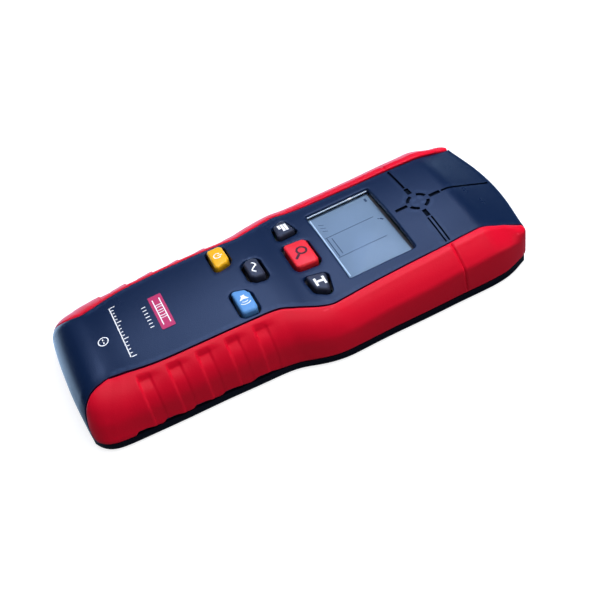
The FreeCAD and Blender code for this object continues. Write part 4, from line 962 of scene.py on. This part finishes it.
# a stud between two wall lines, with a pulse on each side
pulses = [arc_band(0, -54.1, radius, 0.36, middle - spread, middle + spread)
          for middle in (0, 180) for radius, spread in ((2.6, 32), (3.9, 24))]
print_mark("badge_mark",
           bars((-7.6, -52.6, 7.6, -52.6, 0.42), (-7.6, -55.6, 7.6, -55.6, 0.42),
                (-0.7, -53.0, -0.7, -55.2, 0.38), (0.7, -53.0, 0.7, -55.2, 0.38)) + pulses,
           badge_z, "print_white", lift=0.03)


def handle_mark(name, outlines, holes=()):
    print_mark(name, outlines, face_z, "print_white", holes=holes, lift=0.03)


handle_mark("tick_mark", [bar(x, -60.9, x, -59.2, 0.42)
                          for x in (-6.0, -4.0, -2.0, 0.0, 2.0, 4.0, 6.0)])
# a ruler with every fifth tick longer
RULE_X, RULE_PITCH = -14.5, 2.0
rule = [bar(RULE_X, -72.6, 15.5, -72.6, 0.42)]
for i in range(16):
    x = RULE_X + RULE_PITCH * i
    rule.append(bar(x, -72.2, x, -70.2 if i % 5 == 0 else -71.2, 0.42))
handle_mark("rule_mark", rule)
handle_mark("round_mark",
            [circle(1.7, -80.0, 2.3, 40)] + bars(
                (1.7, -81.3, 1.7, -78.7, 0.45), (0.4, -80.0, 1.3, -80.0, 0.45),
                (2.1, -80.0, 3.0, -80.0, 0.45)),
            holes=[circle(1.7, -80.0, 1.85, 36)])

# ------------------------------------------------------------------- display
TILT = math.radians(1.96)       # the display rises towards the nose
DISPLAY_Y = (WINDOW_Y0 + WINDOW_Y1) / 2
PANE_TOP, LCD_TOP = 20.42, 19.38


def tilted(points):
    """Local display points (x, y about the middle, height) to the casing's frame."""
    x, y, z = points.T
    return np.column_stack([x, DISPLAY_Y + y * math.cos(TILT) - z * math.sin(TILT),
                            y * math.sin(TILT) + z * math.cos(TILT)])


def tilted_plane(height):
    """Height function of the tilted plane at a local height."""
    return lambda x, y: height / math.cos(TILT) + (np.asarray(y) - DISPLAY_Y) * math.tan(TILT)


def pane(name, width, length, bottom, top, corner, bevel, material, stands):
    loop = rounded(rectangle(-width / 2, -length / 2, width / 2, length / 2), corner, 1.0)
    levels = [(0, bottom), (0, top - bevel), (-bevel * 0.3, top - bevel * 0.3), (-bevel, top)]
    count = len(loop)
    verts = [np.column_stack([offset(loop, distance), np.full(count, z)])
             for distance, z in levels]
    faces = stacked_bands(len(levels), count)
    faces.append(list(range((len(levels) - 1) * count, len(levels) * count)))
    faces.append(list(range(count))[::-1])
    make(name, tilted(np.vstack(verts)), faces, material, sharp=30, stands=stands)


pane("display_pane", width=43.2, length=30.0, bottom=19.42, top=PANE_TOP, corner=0.9, bevel=0.25,
     material="window_clear", stands=("display_window",))
pane("lcd_panel", width=43.0, length=29.8, bottom=18.9, top=LCD_TOP, corner=0.8, bevel=0.05,
     material="lcd_grey", stands=("lcd_glass",))

lcd_z, pane_z = tilted_plane(LCD_TOP), tilted_plane(PANE_TOP)
# name, surface, material, slot, lift, bars (start x, start y, end x, end y, width)
DISPLAY_MARKS = (
    # a light strip along the LCD's handle-side edge: painted highlight of the pane's edge
    ("lcd_edge_painted_highlight", lcd_z, "painted_highlight", "lcd_grey", 0.02, [(-20.2, 21.35, 19.2, 21.35, 0.5)]),
    ("lcd_shade", lcd_z, "segment", "lcd_grey", 0.02, [(-20.9, 21.7, -20.9, 49.9, 0.6)]),
    # a light strip on the pane's far rim: painted highlight
    ("window_rim_painted_highlight", pane_z, "painted_highlight", "window_clear", 0.42,
     [(-21.45, 20.6, -21.45, 49.8, 0.42)]),
    # a white dash on the pane's far rim: painted glint
    ("window_glint", pane_z, "print_white", "window_clear", 0.50,
     [(-21.45, 40.5, -21.45, 42.3, 0.62)]),
    ("lcd_segments", lcd_z, "segment", "lcd_grey", 0.02, [
        (-6.6, 21.9, -6.6, 45.3, 0.30), (6.9, 21.9, 6.9, 44.8, 0.30),
        (-6.3, 22.7, 6.6, 22.7, 0.42), (-5.2, 24.6, 5.4, 24.6, 0.36),
        (-4.0, 47.2, -2.7, 48.2, 0.8), (-4.5, 46.4, -3.9, 46.6, 0.5),
        (-19.0, 47.3, -16.8, 47.3, 1.0), (-15.8, 23.2, -14.6, 25.2, 0.25),
        (-13.6, 23.2, -12.4, 25.2, 0.25), (-11.4, 23.2, -10.2, 25.2, 0.25)]))
for name, surface, material, slot, lift, rows in DISPLAY_MARKS:
    print_mark(name, bars(*rows), surface, material, lift=lift)

# --------------------------------------------------------------------- floor
FLOOR_HALF, FLOOR_Z = 6.0, -0.00015


def floor_finish():
    """White to the camera, dim to other rays, a bluish sheen in reflections."""
    material = bpy.data.materials.new("floor_finish")
    tree = empty_tree(material)
    position = add(tree, "TexCoord").outputs["Object"]
    noise = add(tree, "TexNoise", {"Scale": 3.0, "Vector": position})
    shade = mix_color(tree, noise.outputs["Fac"], (0.44, 0.44, 0.45, 1), (0.46, 0.46, 0.47, 1))
    # seen by the camera: shaded grey plus a glow that grows away from the middle
    grey = add(tree, "BsdfDiffuse", {0: shade})
    distance = add(tree, "VectorMath", {0: position}, operation="LENGTH").outputs["Value"]
    glow_power = add(tree, "MapRange", {"From Min": 0.3, "From Max": 1.0, "To Min": 0.72,
                                        "To Max": 1.0, "Value": distance})
    glow = add(tree, "Emission", {0: (1, 1, 1, 1), 1: glow_power.outputs[0]})
    seen = add(tree, "AddShader", {0: grey.outputs[0], 1: glow.outputs[0]})
    # seen by reflections: a sheen that fades from -x to +x
    dim = add(tree, "BsdfDiffuse", {0: (0.15, 0.155, 0.165, 1)})
    across = add(tree, "SeparateXYZ", {0: position}).outputs["X"]
    sheen_power = add(tree, "MapRange", {"From Min": -0.035, "From Max": 0.04, "To Min": 2.3,
                                         "To Max": 0.12, "Value": across})
    sheen = add(tree, "Emission", {0: (0.48, 0.70, 1.0, 1), 1: sheen_power.outputs[0]})
    path = add(tree, "LightPath").outputs
    unseen = mix_shader(tree, path["Is Glossy Ray"], dim.outputs[0], sheen.outputs[0])
    surface = mix_shader(tree, path["Is Camera Ray"], unseen, seen.outputs[0])
    # clear while the camera is below the floor
    eye = add(tree, "VectorTransform", {0: (0, 0, 0)}, vector_type="POINT",
              convert_from="CAMERA", convert_to="WORLD")
    eye_z = add(tree, "SeparateXYZ", {0: eye.outputs[0]}).outputs["Z"]
    below = add(tree, "Math", {0: eye_z, 1: 0.0}, operation="LESS_THAN")
    clear = add(tree, "BsdfTransparent")
    final = mix_shader(tree, below.outputs[0], surface, clear.outputs[0])
    add(tree, "OutputMaterial", {0: final})
    return material


def floor():
    material = floor_finish()
    mesh = bpy.data.meshes.new("floor")
    corners = rectangle(-FLOOR_HALF, -FLOOR_HALF, FLOOR_HALF, FLOOR_HALF)
    mesh.from_pydata([(x, y, FLOOR_Z) for x, y in corners], [], [(0, 1, 2, 3)])
    sheet = bpy.data.objects.new("floor", mesh)
    bpy.context.scene.collection.objects.link(sheet)
    mesh.materials.append(material)


floor()

# --------------------------------------------------------------------- world
SKY_DIRECTION = Vector((-0.52, 0.16, 0.84)).normalized()    # towards the bright patch
# (position from away to towards the patch, colour)
DIFFUSE_SKY = [
    (0.0, (0.05, 0.055, 0.07, 1)), (0.62, (0.14, 0.145, 0.165, 1)), (0.86, (0.14, 0.16, 0.20, 1)),
    (0.962, (0.17, 0.21, 0.30, 1)), (0.977, (0.36, 0.47, 0.78, 1)), (0.989, (1.0, 1.3, 2.2, 1)),
    (1.0, (1.2, 1.55, 2.6, 1))]
GLOSSY_SKY = [
    (0.0, (0.02, 0.025, 0.04, 1)), (0.62, (0.04, 0.05, 0.075, 1)),
    (0.86, (0.045, 0.055, 0.085, 1)), (0.955, (0.09, 0.12, 0.19, 1)),
    (0.977, (0.30, 0.40, 0.68, 1)), (0.988, (1.22, 1.64, 2.85, 1)), (1.0, (1.95, 2.65, 4.6, 1))]


def color_ramp(tree, value, stops):
    """Ramp whose first and last stops lie at 0 and 1."""
    node = add(tree, "ValToRGB", {0: value})
    elements = node.color_ramp.elements
    elements[0].color, elements[1].color = stops[0][1], stops[-1][1]
    for position, color in stops[1:-1]:
        elements.new(position).color = color
    return node.outputs[0]


def studio_world():
    """Sky with a bright patch; the camera itself sees plain white."""
    world = bpy.data.worlds.new("studio")
    bpy.context.scene.world = world
    tree = empty_tree(world)
    direction = add(tree, "TexCoord").outputs["Generated"]
    towards = add(tree, "VectorMath", {0: direction, 1: SKY_DIRECTION}, operation="DOT_PRODUCT")
    share = add(tree, "MapRange", {"From Min": -1.0, "Value": towards.outputs["Value"]}).outputs[0]
    diffuse = color_ramp(tree, share, DIFFUSE_SKY)
    glossy = color_ramp(tree, share, GLOSSY_SKY)
    glossy_ray = add(tree, "LightPath").outputs["Is Glossy Ray"]
    sky = add(tree, "Background", {"Color": mix_color(tree, glossy_ray, diffuse, glossy),
                                   "Strength": 1.0})
    white = add(tree, "Background", {"Color": (1, 1, 1, 1), "Strength": 1.0})
    camera_ray = add(tree, "LightPath").outputs["Is Camera Ray"]
    shown = mix_shader(tree, camera_ray, sky.outputs[0], white.outputs[0])
    add(tree, "OutputWorld", {0: shown})


studio_world()


# --------------------------------------------------------- lights and camera
def area_light(name, location, width, height, power, glossy=False):
    """Rectangular light aimed at the origin; glossy: it shows in reflections."""
    light = bpy.data.lights.new(name, "AREA")
    light.shape = "RECTANGLE"
    light.size, light.size_y = width, height
    light.energy = power
    lamp = bpy.data.objects.new(name, light)
    bpy.context.scene.collection.objects.link(lamp)
    lamp.location = location
    lamp.rotation_euler = (-Vector(location)).to_track_quat("-Z", "Y").to_euler()
    lamp.visible_glossy = glossy


area_light("key_light", (-0.22, 0.42, 0.80), width=0.40, height=0.40, power=7.4)
area_light("top_light", (0.10, -0.05, 0.95), width=0.6, height=0.6, power=4.8)
area_light("fill_light", (0.60, 0.66, 0.30), width=0.6, height=0.4, power=2.1)
# lights the underside for views from below
area_light("under_light", (0.25, -0.45, -0.75), width=0.9, height=0.9, power=16.0, glossy=True)

CAMERA_PLACE = (289.0204, -77.4428, 310.0480)       # mm
CAMERA_RIGHT = (0.4143798, 0.8975346, -0.1507349)
CAMERA_DOWN = (0.6191821, -0.3994112, -0.6760800)
CAMERA_FORWARD = (-0.6670104, 0.1868216, -0.7212453)


def camera():
    lens = bpy.data.cameras.new("camera")
    lens.sensor_width = 36.0
    lens.lens = 60.0
    lens.clip_start = 0.01
    viewer = bpy.data.objects.new("camera", lens)
    bpy.context.scene.collection.objects.link(viewer)
    place = Matrix.Identity(4)
    for i in range(3):
        place[i] = (CAMERA_RIGHT[i], -CAMERA_DOWN[i], -CAMERA_FORWARD[i], CAMERA_PLACE[i] * MM)
    viewer.matrix_world = place
    bpy.context.scene.camera = viewer


camera()
bpy.context.scene.view_settings.view_transform = "Standard"

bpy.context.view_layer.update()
